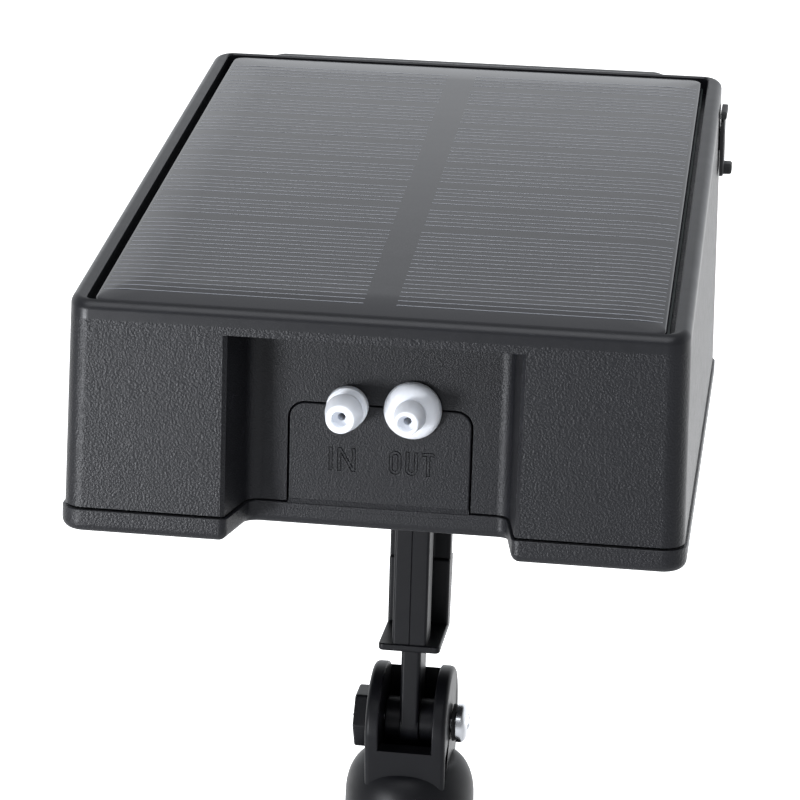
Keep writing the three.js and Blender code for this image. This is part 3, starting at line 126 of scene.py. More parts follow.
def outline(corners: Sequence[Corner], inset: float = 0.0) -> list[Pair]:
    """Points of an outline whose edges are moved inwards and whose corners are rounded.

    Args:
        corners: The corners, anticlockwise.
        inset: How far every edge moves inwards. A negative value grows the outline.

    Returns:
        The points, as many for every inset.
    """
    points: list[Pair] = []
    for k, corner in enumerate(corners):
        here = Vector((corner.x, corner.y))
        before, after = corners[k - 1], corners[(k + 1) % len(corners)]
        arriving = (here - Vector((before.x, before.y))).normalized()
        leaving = (Vector((after.x, after.y)) - here).normalized()
        inward = Vector((-arriving.y, arriving.x))
        inward_after = Vector((-leaving.y, leaving.x))
        here = here + (inward + inward_after) * (inset / (1 + inward.dot(inward_after)))
        if corner.radius == 0:
            points.append((here.x, here.y))
            continue
        turn = 1 if arriving.x * leaving.y - arriving.y * leaving.x > 0 else -1
        radius = max(corner.radius - turn * inset, 0.05)
        sweep = math.acos(max(-1.0, min(1.0, arriving.dot(leaving))))
        start = here - arriving * (radius * math.tan(sweep / 2))
        centre = start + inward * (radius * turn)
        for step in range(corner.steps + 1):
            angle = turn * sweep * step / corner.steps
            arm = start - centre
            points.append((
                centre.x + arm.x * math.cos(angle) - arm.y * math.sin(angle),
                centre.y + arm.x * math.sin(angle) + arm.y * math.cos(angle)))
    return points


def plate_corners(x0: float, x1: float, y0: float, y1: float, radius: float, steps: int = 6) -> list[Corner]:
    """Four round corners of a rectangle.

    Args:
        x0: Low side.
        x1: High side.
        y0: Near side.
        y1: Far side.
        radius: Corner radius.
        steps: Facets in each corner.

    Returns:
        The corners, anticlockwise.
    """
    return [Corner(x, y, radius, steps) for x, y in ((x0, y0), (x1, y0), (x1, y1), (x0, y1))]


def hexagon(across_flats: float, radius: float = 0.0) -> list[Corner]:
    """Corners of a hexagon about the origin, two of them on the first axis.

    Args:
        across_flats: Distance between opposite sides.
        radius: Corner radius.

    Returns:
        The six corners, anticlockwise.
    """
    reach = across_flats / math.sqrt(3)
    angles = [k * math.pi / 3 for k in range(6)]
    return [Corner(reach * math.cos(a), reach * math.sin(a), radius, 4) for a in angles]


def arc(u: float, v: float, radius: float, start: float, end: float, steps: int) -> list[Pair]:
    """Points on an arc.

    Args:
        u: First coordinate of the centre.
        v: Second coordinate of the centre.
        radius: Radius.
        start: First angle in degrees.
        end: Last angle in degrees.
        steps: Facets between them.

    Returns:
        The points, both ends included.
    """
    angles = [math.radians(start + (end - start) * k / steps) for k in range(steps + 1)]
    return [(u + radius * math.cos(a), v + radius * math.sin(a)) for a in angles]


class Solid:
    """A closed mesh that can be cut, joined and moved before it becomes a piece."""

    def __init__(self, mesh: bpy.types.Mesh) -> None:
        """Holds a mesh."""
        self.mesh = mesh

    @classmethod
    def of(cls, points: Sequence[Vector], faces: Sequence[Sequence[int]]) -> Solid:
        """A solid from its points and faces, with its faces turned outwards.

        Args:
            points: The points.
            faces: Every face as numbers of points.

        Returns:
            The solid.
        """
        shell = bmesh.new()
        corners = [shell.verts.new(p) for p in points]
        for face in faces:
            shell.faces.new([corners[k] for k in face])
        bmesh.ops.recalc_face_normals(shell, faces=shell.faces)
        mesh = bpy.data.meshes.new("solid")
        shell.to_mesh(mesh)
        shell.free()
        return cls(mesh)

    @classmethod
    def loft(cls, rings: Sequence[Sequence[Vector]]) -> Solid:
        """A closed body through a stack of rings with equal numbers of points.

        Args:
            rings: The rings, from one end to the other.

        Returns:
            The solid.
        """
        count = len(rings[0])
        faces: list[list[int]] = [list(range(count)),
                                  list(range((len(rings) - 1) * count, len(rings) * count))]
        for ring in range(len(rings) - 1):
            for k in range(count):
                low, after = ring * count + k, ring * count + (k + 1) % count
                faces.append([low, after, after + count, low + count])
        return cls.of([p for ring in rings for p in ring], faces)

    @classmethod
    def prism(
        cls, corners: Sequence[Corner], start: float, end: float, axis: Axis = Axis.Z,
        start_round: float = 0.0, end_round: float = 0.0, inset: float = 0.0,
    ) -> Solid:
        """An outline made thick along an axis, with its end edges rounded.

        Args:
            corners: The outline, anticlockwise.
            start: Where it starts along the axis.
            end: Where it ends.
            axis: Direction of its thickness.
            start_round: Edge radius at the start.
            end_round: Edge radius at the end.
            inset: How far the whole outline is moved inwards.

        Returns:
            The solid.
        """
        levels: list[Pair] = []
        for radius, place, way in ((start_round, start, 1), (end_round, end, -1)):
            quarter = [math.radians(a) for a in (0, 22.5, 45, 67.5, 90)] if radius else [math.pi / 2]
            side = [(place + way * radius * (1 - math.cos(a)), radius * (1 - math.sin(a))) for a in quarter]
            levels += side if way > 0 else side[::-1]
        if not start_round and not end_round:
            levels = [(start, 0.0), (end, 0.0)]
        rings = [[axis.point(u, v, along) for u, v in outline(corners, inset + shrink)]
                 for along, shrink in levels]
        return cls.loft(rings)

    @classmethod
    def block(
        cls, x: Pair, y: Pair, z: Pair, edge: float = 0.0, upright: float = 0.0,
    ) -> Solid:
        """A box between two corners, with its level edges and its upright edges rounded."""
        rounding = max(edge, upright)
        corners = plate_corners(*x, *y, rounding, 4 if rounding else 6)
        return cls.prism(corners, *z, Axis.Z, edge, edge)

    @classmethod
    def turned(
        cls, profile: Sequence[Pair], axis: Axis, centre: Pair = (0.0, 0.0), sides: int = 48,
    ) -> Solid:
        """A turned body from its closed half section of (radius, place along the axis) points.

        Args:
            profile: The half section. It starts and ends on the axis, or closes on itself.
            axis: The axis it turns about.
            centre: The axis's place in the two flat coordinates.
            sides: Facets round it.

        Returns:
            The solid.
        """
        closed = profile[0] == profile[-1] and profile[0][0] > 0
        steps = list(profile[:-1]) if closed else list(profile)
        points: list[Vector] = []
        rings: list[list[int]] = []
        for radius, along in steps:
            first = len(points)
            count = sides if radius > 1e-6 else 1
            for k in range(count):
                angle = 2 * math.pi * k / sides
                points.append(axis.point(
                    centre[0] + radius * math.cos(angle), centre[1] + radius * math.sin(angle), along))
            rings.append([first + k % count for k in range(sides)])
        pairs = list(zip(rings, rings[1:] + rings[:1])) if closed else list(zip(rings, rings[1:]))
        faces = []
        for low, high in pairs:
            for k in range(sides):
                after = (k + 1) % sides
                face = list(dict.fromkeys([low[k], low[after], high[after], high[k]]))
                if len(face) > 2:
                    faces.append(face)
        return cls.of(points, faces)

    @classmethod
    def rod(
        cls, axis: Axis, radius: float, start: float, end: float, centre: Pair = (0.0, 0.0),
        edge: float = 0.0, sides: int = 40,
    ) -> Solid:
        """A round rod along an axis, with its end edges rounded.

        Args:
            axis: The rod's direction.
            radius: Radius.
            start: Low end along the axis.
            end: High end along the axis.
            centre: Place of the axis, in the axis's flat coordinates.
            edge: Rounding of both end edges.
            sides: Facets round the rod.

        Returns:
            The rod.
        """
        if not edge:
            return cls.turned([(0, start), (radius, start), (radius, end), (0, end)], axis, centre, sides)
        low = arc(radius - edge, start + edge, edge, -90, 0, 4)
        high = arc(radius - edge, end - edge, edge, 0, 90, 4)
        return cls.turned([(0, start), *low, *high, (0, end)], axis, centre, sides)

    def _combine(self, others: Sequence[Solid], operation: str) -> Solid:
        """This solid after a boolean with every one of the others at once.

        Args:
            others: The other solids.
            operation: Name of the boolean in Blender.

        Returns:
            The result.
        """
        body = bpy.data.objects.new("body", self.mesh)
        tools = bpy.data.collections.new("tools")
        bpy.context.scene.collection.objects.link(body)
        bpy.context.scene.collection.children.link(tools)
        for other in others:
            tools.objects.link(bpy.data.objects.new("tool", other.mesh))
        step = body.modifiers.new("boolean", "BOOLEAN")
        step.operation = operation
        step.operand_type = "COLLECTION"
        step.collection = tools
        step.solver = "EXACT"
        result = Solid(evaluated_mesh(body))
        for tool in list(tools.objects):
            bpy.data.objects.remove(tool)
        bpy.data.objects.remove(body)
        bpy.data.collections.remove(tools)
        return result

    def cut(self, *others: Solid) -> Solid:
        """This solid with the others cut away."""
        return self._combine(others, "DIFFERENCE")

    def join(self, *others: Solid) -> Solid:
        """This solid and the others as one."""
        return self._combine(others, "UNION")

    def placed(self, matrix: Matrix) -> Solid:
        """This solid moved by a matrix."""
        self.mesh.transform(matrix)
        return self

    def shifted(self, x: float = 0.0, y: float = 0.0, z: float = 0.0) -> Solid:
        """This solid moved along the axes."""
        return self.placed(Matrix.Translation((x, y, z)))


def evaluated_mesh(source: bpy.types.Object) -> bpy.types.Mesh:
    """The mesh of an object with its modifiers applied."""
    graph = bpy.context.evaluated_depsgraph_get()
    graph.update()
    return bpy.data.meshes.new_from_object(
        source.evaluated_get(graph), preserve_all_data_layers=True, depsgraph=graph)


# ---------------------------------------------------------------- finishes


class Grain(Enum):
    """The relief that a finish has on its surface."""

    NONE = "none"
    ERODED = "eroded"
    FINE = "fine"
    BRUSHED = "brushed"


class NodeBuilder:
    """Adds and links the nodes of one tree."""

    def __init__(self, tree: bpy.types.NodeTree) -> None:
        """Holds the tree."""
        self.tree = tree

    def add(self, kind: str, inputs: dict[str | int, object] | None = None,
            **settings: object) -> bpy.types.Node:
        """A new node.

        Args:
            kind: The node's type name.
            inputs: Values, or sockets to link from, by input name or number.
            settings: Properties of the node.

        Returns:
            The node.
        """
        node = self.tree.nodes.new(kind)
        for name, value in settings.items():
            setattr(node, name, value)
        for key, value in (inputs or {}).items():
            if isinstance(value, bpy.types.NodeSocket):
                self.tree.links.new(value, node.inputs[key])
            else:
                node.inputs[key].default_value = value
        return node

    def math(self, operation: str, *values: object) -> bpy.types.NodeSocket:
        """The result of a Math node."""
        kind = "ShaderNodeMath"
        node = self.add(kind, dict(enumerate(values)), operation=operation)
        return node.outputs[0]


@dataclass(frozen=True)
class Finish:
    """A moulded, drawn or printed surface, with its relief and small variations.

    Lengths are in millimetres. The relief's size is the distance between its bumps.
    """

    name: str
    colour: tuple[float, float, float]
    roughness: float
    metallic: float = 0.0
    ior: float = 1.5
    specular: float = 0.5
    grain: Grain = Grain.NONE
    grain_size: float = 0.8
    grain_depth: float = 0.05
    mottle: float = 0.08
    mottle_size: float = 14.0
    smudge: float = 0.08
    coat: float = 0.0
    coat_roughness: float = 0.05
    milkiness: float = 0.0
    transmission: float = 0.0
    alpha: float = 1.0
    stretch: tuple[float, float, float] = (1.0, 1.0, 1.0)

    def build(self) -> bpy.types.Material:
        """The finish as a node material.

        Returns:
            The material.
        """
        material = bpy.data.materials.new(self.name)
        material.use_nodes = True
        material.node_tree.nodes.clear()
        nodes = NodeBuilder(material.node_tree)
        shader = nodes.add("ShaderNodeBsdfPrincipled", {
            "Metallic": self.metallic, "IOR": self.ior, "Specular IOR Level": self.specular,
            "Coat Weight": self.coat,
            "Coat Roughness": self.coat_roughness, "Transmission Weight": self.transmission,
            "Subsurface Weight": self.milkiness, "Subsurface Scale": 0.002,
            "Subsurface Radius": (1.0, 0.97, 0.94), "Alpha": self.alpha})
        output = nodes.add("ShaderNodeOutputMaterial", {"Surface": shader.outputs[0]})
        output.is_active_output = True
        place = nodes.add("ShaderNodeTexCoord").outputs["Object"]
        cloud = nodes.add("ShaderNodeTexNoise", {
            "Vector": place, "Scale": 1 / (self.mottle_size * MM), "Detail": 4.0, "Roughness": 0.6})
        self._colour(nodes, shader, cloud.outputs["Fac"])
        self._roughness(nodes, shader, place)
        if self.grain is not Grain.NONE:
            self._relief(nodes, shader, place)
        return material

    def _colour(self, nodes: NodeBuilder, shader: bpy.types.Node, cloud: bpy.types.NodeSocket) -> None:
        """Varies the colour gently in clouds.

        Args:
            nodes: Builder of the material's tree.
            shader: The shader to feed.
            cloud: The soft noise.
        """
        low = [c * (1 - self.mottle) for c in self.colour]
        high = [min(c * (1 + self.mottle), 1.0) for c in self.colour]
        ramp = nodes.add("ShaderNodeValToRGB", {"Fac": cloud})
        ramp.color_ramp.elements[0].position = 0.3
        ramp.color_ramp.elements[1].position = 0.7
        ramp.color_ramp.elements[0].color = (*low, 1.0)
        ramp.color_ramp.elements[1].color = (*high, 1.0)
        nodes.tree.links.new(ramp.outputs["Color"], shader.inputs["Base Color"])

    def _roughness(self, nodes: NodeBuilder, shader: bpy.types.Node, place: bpy.types.NodeSocket) -> None:
        """Varies the roughness in small smudges.

        Args:
            nodes: Builder of the material's tree.
            shader: The shader to feed.
            place: Place on the object.
        """
        smudges = nodes.add("ShaderNodeTexNoise", {
            "Vector": place, "Scale": 1 / (3.2 * MM), "Detail": 5.0, "Roughness": 0.65})
        spread = nodes.add("ShaderNodeMapRange", {
            "Value": smudges.outputs["Fac"], "From Min": 0.3, "From Max": 0.7,
            "To Min": max(self.roughness * (1 - self.smudge), 0.0),
            "To Max": self.roughness * (1 + self.smudge)})
        nodes.tree.links.new(spread.outputs["Result"], shader.inputs["Roughness"])

    def _relief(self, nodes: NodeBuilder, shader: bpy.types.Node, place: bpy.types.NodeSocket) -> None:
        """Raises the grain: wrinkled from spark erosion, fine and even, or brushed.

        Args:
            nodes: Builder of the material's tree.
            shader: The shader to feed.
            place: Place on the object.
        """
        mapped = nodes.add("ShaderNodeMapping", {"Vector": place, "Scale": self.stretch}).outputs[0]
        scale = 1 / (self.grain_size * MM)
        if self.grain is Grain.ERODED:
            warp = nodes.add("ShaderNodeTexNoise", {"Vector": mapped, "Scale": scale * 0.7, "Detail": 2.0})
            moved = nodes.add("ShaderNodeVectorMath", {
                0: warp.outputs["Color"], 1: (self.grain_size * MM * 1.1,) * 3}, operation="MULTIPLY")
            bent = nodes.add("ShaderNodeVectorMath", {0: mapped, 1: moved.outputs[0]}, operation="ADD")
            cells = nodes.add("ShaderNodeTexVoronoi", {
                "Vector": bent.outputs[0], "Scale": scale, "Smoothness": 0.6}, feature="SMOOTH_F1")
            fine = nodes.add("ShaderNodeTexNoise", {"Vector": mapped, "Scale": scale * 2.6, "Detail": 3.0})
            height = nodes.math("ADD", cells.outputs["Distance"],
                                nodes.math("MULTIPLY", fine.outputs["Fac"], 0.45))
        else:
            detail = 2.0 if self.grain is Grain.BRUSHED else 4.0
            noise = nodes.add("ShaderNodeTexNoise", {"Vector": mapped, "Scale": scale, "Detail": detail})
            height = noise.outputs["Fac"]
        bump = nodes.add("ShaderNodeBump", {
            "Height": height, "Strength": 1.0, "Distance": self.grain_depth * MM})
        nodes.tree.links.new(bump.outputs["Normal"], shader.inputs["Normal"])


class Finishes:
    """Every finish of the object, built once and shared."""

    _table = {
        "grained_plastic": Finish("grained_plastic", (0.0075, 0.0077, 0.0095), 0.40, specular=0.3,
                                  grain=Grain.ERODED, grain_size=0.38, grain_depth=0.065),
        "fine_plastic": Finish("fine_plastic", (0.0065, 0.0067, 0.0085), 0.42, specular=0.28,
                               grain=Grain.ERODED, grain_size=0.3, grain_depth=0.05),
        "smooth_plastic": Finish("smooth_plastic", (0.0075, 0.0077, 0.0095), 0.36, specular=0.3,
                                 grain=Grain.FINE, grain_size=0.3, grain_depth=0.005),
        "stake_plastic": Finish("stake_plastic", (0.0035, 0.0036, 0.0048), 0.42, specular=0.2,
                                grain=Grain.FINE, grain_size=0.5, grain_depth=0.008),
        "clear_resin": Finish("clear_resin", (0.009, 0.009, 0.012), 0.13, smudge=0.15, grain=Grain.FINE,
                              grain_size=11.0, grain_depth=0.012),
        "grid_line": Finish("grid_line", (0.26, 0.27, 0.30), 0.3),
        "silicon_cell": Finish("silicon_cell", (0.012, 0.014, 0.03), 0.25, grain=Grain.BRUSHED,
                               grain_size=1.0, grain_depth=0.01, stretch=(0.05, 1.0, 1.0)),
        "panel_laminate": Finish("panel_laminate", (0.02, 0.03, 0.03), 0.55, grain=Grain.FINE, grain_size=0.4,
                                 grain_depth=0.02),
        "white_nylon": Finish("white_nylon", (0.78, 0.80, 0.84), 0.5, specular=0.3, milkiness=0.6,
                              mottle=0.02, grain=Grain.FINE, grain_size=0.6, grain_depth=0.004),
        "silicone_hose": Finish("silicone_hose", (0.75, 0.78, 0.78), 0.35, milkiness=0.4, alpha=1.0,
                                mottle=0.03),
        "bright_steel": Finish("bright_steel", (0.62, 0.63, 0.65), 0.24, 1.0, grain=Grain.BRUSHED,
                               grain_size=0.3, grain_depth=0.004, mottle=0.05),
        "black_rubber": Finish("black_rubber", (0.016, 0.016, 0.017), 0.68, grain=Grain.FINE, grain_size=0.4,
                               grain_depth=0.02),
        "pump_plastic": Finish("pump_plastic", (0.05, 0.055, 0.062), 0.48, grain=Grain.FINE, grain_size=0.6,
                               grain_depth=0.015),
        "motor_can": Finish("motor_can", (0.5, 0.5, 0.52), 0.34, 1.0, grain=Grain.BRUSHED, grain_size=0.5,
                            grain_depth=0.008, stretch=(1.0, 0.06, 1.0)),
        "battery_sleeve": Finish("battery_sleeve", (0.03, 0.13, 0.38), 0.3, coat=0.4, grain=Grain.FINE,
                                 grain_size=6.0, grain_depth=0.03),
        "lead_insulation": Finish("lead_insulation", (0.02, 0.02, 0.022), 0.45, grain=Grain.FINE,
                                  grain_size=0.7, grain_depth=0.01),
        "lead_red": Finish("lead_red", (0.45, 0.02, 0.02), 0.4, grain=Grain.FINE, grain_size=0.7,
                           grain_depth=0.01),
        "control_label": Finish("control_label", (0.055, 0.06, 0.068), 0.36, coat=0.3, coat_roughness=0.2,
                                grain=Grain.FINE, grain_size=0.35, grain_depth=0.01),
        "label_ink": Finish("label_ink", (0.66, 0.68, 0.7), 0.5, mottle=0.03),
        "clear_window": Finish("clear_window", (0.9, 0.93, 0.94), 0.05, ior=1.49, transmission=1.0,
                               mottle=0.01),
        "display_glass": Finish("display_glass", (0.30, 0.36, 0.29), 0.25, coat=0.6, mottle=0.03),
        "display_segment": Finish("display_segment", (0.018, 0.022, 0.02), 0.4, mottle=0.03),
        "button_rubber": Finish("button_rubber", (0.33, 0.35, 0.37), 0.55, grain=Grain.FINE, grain_size=0.35,
                                grain_depth=0.012),
        "switch_body": Finish("switch_body", (0.10, 0.10, 0.11), 0.4, mottle=0.05),
        "lens_green": Finish("lens_green", (0.22, 0.62, 0.30), 0.12, milkiness=0.3, coat=0.5, mottle=0.03),
        "circuit_laminate": Finish("circuit_laminate", (0.016, 0.12, 0.05), 0.35, coat=0.5,
                                   grain=Grain.BRUSHED,
                                   grain_size=1.2, grain_depth=0.02, stretch=(0.2, 1.0, 1.0)),
    }

    def __init__(self) -> None:
        """Starts with no finish built."""
        self._built: dict[str, bpy.types.Material] = {}

    def __getitem__(self, name: str) -> bpy.types.Material:
        """The material of a finish, built on first use."""
        if name not in self._built:
            self._built[name] = self._table[name].build()
        return self._built[name]


finishes = Finishes()


# ---------------------------------------------------------------- pieces


FaceRule = Callable[[Vector, Vector], int]


def add_piece(
    name: str, solid: Solid, body: str, materials: Sequence[str], placing: Matrix,
    stands_for: Sequence[str] = (), rule: FaceRule | None = None, crease: float = 32.0,
) -> bpy.types.Object:
    """Turns a solid into a finished piece of the object.

    Args:
        name: The piece's name.
        solid: Its shape, in millimetres.
        body: The CAD body it moves with.
        materials: Names of its finishes.
        placing: From the solid's frame to the shared frame, millimetres to metres.
        stands_for: CAD nodes it replaces.
        rule: Picks a face's finish from its centre and normal, in the solid's frame.
        crease: Edges sharper than this many degrees stay sharp.

    Returns:
        The piece's object.
    """
    mesh = solid.mesh
    mesh.materials.clear()
    for material in materials:
        mesh.materials.append(finishes[material])
    for face in mesh.polygons:
        face.material_index = rule(face.center, face.normal) if rule else 0
        face.use_smooth = True
    mesh.transform(placing)
    mesh.set_sharp_from_angle(angle=math.radians(crease))
    rough = bpy.data.objects.new(name + "_shape", mesh)
    bpy.context.scene.collection.objects.link(rough)
    weigh = rough.modifiers.new("weigh", "WEIGHTED_NORMAL")
    weigh.keep_sharp = True
    finished = evaluated_mesh(rough)
    bpy.data.objects.remove(rough)
    finished.name = name
    piece = bpy.data.objects.new(name, finished)
    bpy.context.scene.collection.objects.link(piece)
    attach(piece, body)
    if stands_for:
        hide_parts(*stands_for)
    finished.calc_loop_triangles()
    log.info("%s: %d triangles on %s", name, len(finished.loop_triangles), body)
    return piece


def dress(node: str, material: str) -> None:
    """Gives a CAD node that stays its finish.

    Args:
        node: Name of the CAD node.
        material: Name of its finish.
    """
    holder = frame["nodes"][node]
    if not holder.material_slots:
        holder.data.materials.append(finishes[material])
    for slot in holder.material_slots:
        slot.material = finishes[material]
    log.info("%s: kept, in %s", node, material)


# ---------------------------------------------------------------- the case's surfaces


@dataclass(frozen=True)
class CaseForm:
    """Driving sizes of the case, in millimetres, and the surfaces that follow from them."""

    width: float = 108.0
    length: float = 130.2
    near_height: float = 41.7
    slope: float = math.radians(10.35)
    side_draft: float = 0.025
    end_draft: float = 0.033
    corner: float = 4.0
    rim_round: float = 1.5
    wall: float = 2.4
    deck: float = 2.0
    pocket: float = 3.6
    hinge_from_near: float = 70.0
    hinge_drop: float = 60.0
    port_height: float = 22.9
    recess_mouth: float = 25.6
    recess_back: float = 23.4
    port_spacing: float = 11.6
    tongue_half: float = 16.3
    tongue_round: float = 2.8

    @property
    def half(self) -> float:
        """Half the width across the rim."""
        return self.width / 2

    @property
    def rise(self) -> float:
        """Rise of the rim per length."""
        return math.tan(self.slope)

    @property
    def far_height(self) -> float:
        """Height of the far rim."""
        return self.rim(self.length)

    @property
    def panel_length(self) -> float:
        """Length of the panel up the slope."""
        return self.length / math.cos(self.slope) - 1.6 - 1.8

    @property
    def ports(self) -> Pair:
        """Places of the two hose ports across the case."""
        return -self.port_spacing / 2, self.port_spacing / 2

    def rim(self, y: float) -> float:
        """Rim height at a distance from the near end."""
        return self.near_height + y * self.rise

    def near(self, z: float) -> float:
        """Outer face of the near wall at a height."""
        return -self.end_draft * (self.near_height - z)

    def far(self, z: float) -> float:
        """Outer face of the far wall at a height."""
        return self.length + self.end_draft * (self.far_height - z)

    def side(self, y: float, z: float) -> float:
        """Outer face of a long wall."""
        return self.half + self.side_draft * (self.rim(y) - z)

    def level_ring(self, z: float, inset: float, notch: Sequence[Corner] = (), steps: int = 8) -> Ring:
        """The case's outline at a level.

        Args:
            z: The level.
            inset: How far it lies inside the outer walls.
            notch: Corners of the hose recess, from left to right.
            steps: Facets in each outer corner.

        Returns:
            The ring.
        """
        near, far = self.near(z), self.far(z)
        ends = [Corner(-self.side(near, z), near, self.corner, steps), *notch,
                Corner(self.side(near, z), near, self.corner, steps),
                Corner(self.side(far, z), far, self.corner, steps),
                Corner(-self.side(far, z), far, self.corner, steps)]
        return [Vector((x, y, z)) for x, y in outline(ends, inset)]

    def sloped_ring(self, depth: float, inset: float, steps: int = 8) -> Ring:
        """The case's outline on a plane at a depth below the rim."""
        half = self.half + self.side_draft * depth
        lean = self.end_draft * depth
        ends = plate_corners(-half, half, -lean, self.length + lean, self.corner, steps)
        return [Vector((x, y, self.rim(y) - depth)) for x, y in outline(ends, inset)]

    def notch(self, z: float, mouth_round: float, back_round: float, offset: float = 0.0) -> list[Corner]:
        """Corners of the hose recess at a level, from left to right.

        Args:
            z: The level.
            mouth_round: Radius of the two outer corners.
            back_round: Radius of the two inner corners.
            offset: How far the recess is grown.

        Returns:
            The four corners.
        """
        near = self.near(z)
        mouth, back, depth = self.recess_mouth + offset, self.recess_back + offset, 11 + offset
        return [Corner(-mouth, near, mouth_round), Corner(-back, depth, back_round),
                Corner(back, depth, back_round), Corner(mouth, near, mouth_round)]

    @property
    def screws(self) -> list[Pair]:
        """Places of the six case screws."""
        inset = self.wall + 2.7
        rows = (inset + 1, self.hinge_from_near, self.flap_centre[0] - 4.5 - 3.7 - 3)
        return [(side * (self.half - inset), y) for y in rows for side in (-1, 1)]

    @property
    def flap_centre(self) -> Pair:
        """Centre of the charging flap: its distance from the near end and its height."""
        y = self.length - 9.2
        return y, self.rim(y) - 10.4

    @property
    def case_frame(self) -> Matrix:
        """From the case's frame in millimetres to the shared frame in metres."""
        tilt = next(j for j in frame["joints"] if j["name"] == "head_tilt")
        origin = Vector(tilt["pos_m"]) + Vector((0, -self.hinge_from_near, self.hinge_drop)) * MM
        return Matrix.Translation(origin) @ Matrix.Scale(MM, 4)

    @property
    def panel_frame(self) -> Matrix:
        """From the panel's plane, y up the slope, to the case's frame."""
        return Matrix.Translation((0, 0, self.near_height)) @ Matrix.Rotation(self.slope, 4, "X")

    @property
    def control_frame(self) -> Matrix:
        """From the control face, y up the far wall and z outwards, to the case's frame."""
        up = Vector((0, -self.end_draft, 1)).normalized()
        out = Vector((0, 1, self.end_draft)).normalized()
        return self._basis(Vector((-1, 0, 0)), up, out, Vector((0, self.length, self.far_height)))

    @property
    def flap_frame(self) -> Matrix:
        """From the right wall at the flap's centre, x along it and z outwards, to the case's frame."""
        y, z = self.flap_centre
        up = Vector((-self.side_draft, 0, 1)).normalized()
        out = Vector((1, 0, self.side_draft)).normalized()
        return self._basis(Vector((0, 1, 0)), up, out, Vector((self.side(y, z), y, z)))

    @staticmethod
    def _basis(x: Vector, y: Vector, z: Vector, origin: Vector) -> Matrix:
        """A matrix from its three axes and origin."""
        return Matrix.Translation(origin) @ Matrix((x, y, z)).transposed().to_4x4()


form = CaseForm()


@dataclass
class ControlLayout:
    """Places on the control face, in its own frame."""

    plate_half: float = 31.0
    plate_top: float = -11.0
    plate_foot: float = -41.0
    thickness: float = 1.0
    window_x: float = -10.0
    window_half: float = 13.0
    window_half_height: float = 6.5
    button_x: float = 16.0
    button_radius: float = 4.5
    button_pitch: float = 14.0
    lens_y: float = -37.0
    lens_radius: float = 1.7
    board_depth: float = 9.0

    @property
    def middle(self) -> float:
        """Height of the plate's middle."""
        return (self.plate_top + self.plate_foot) / 2

    @property
    def buttons(self) -> Pair:
        """Heights of the power button and the timer button."""
        return self.middle + self.button_pitch / 2, self.middle - self.button_pitch / 2

    def openings(self, low: float, high: float) -> list[Solid]:
        """Cutters for the window, the two buttons and the light, between two depths.

        Args:
            low: Low end of the cutters.
            high: High end of the cutters.

        Returns:
            The cutters.
        """
        frame_corners = plate_corners(
            self.window_x - self.window_half, self.window_x + self.window_half,
            self.middle - self.window_half_height, self.middle + self.window_half_height, 1.0)
        cutters = [Solid.prism(frame_corners, low, high)]
        for y in self.buttons:
            cutters.append(Solid.rod(Axis.Z, self.button_radius + GAP, low, high, (self.button_x, y)))
        cutters.append(Solid.rod(Axis.Z, self.lens_radius + GAP, low, high, (self.window_x, self.lens_y)))
        return cutters


layout = ControlLayout()


# ---------------------------------------------------------------- upper shell


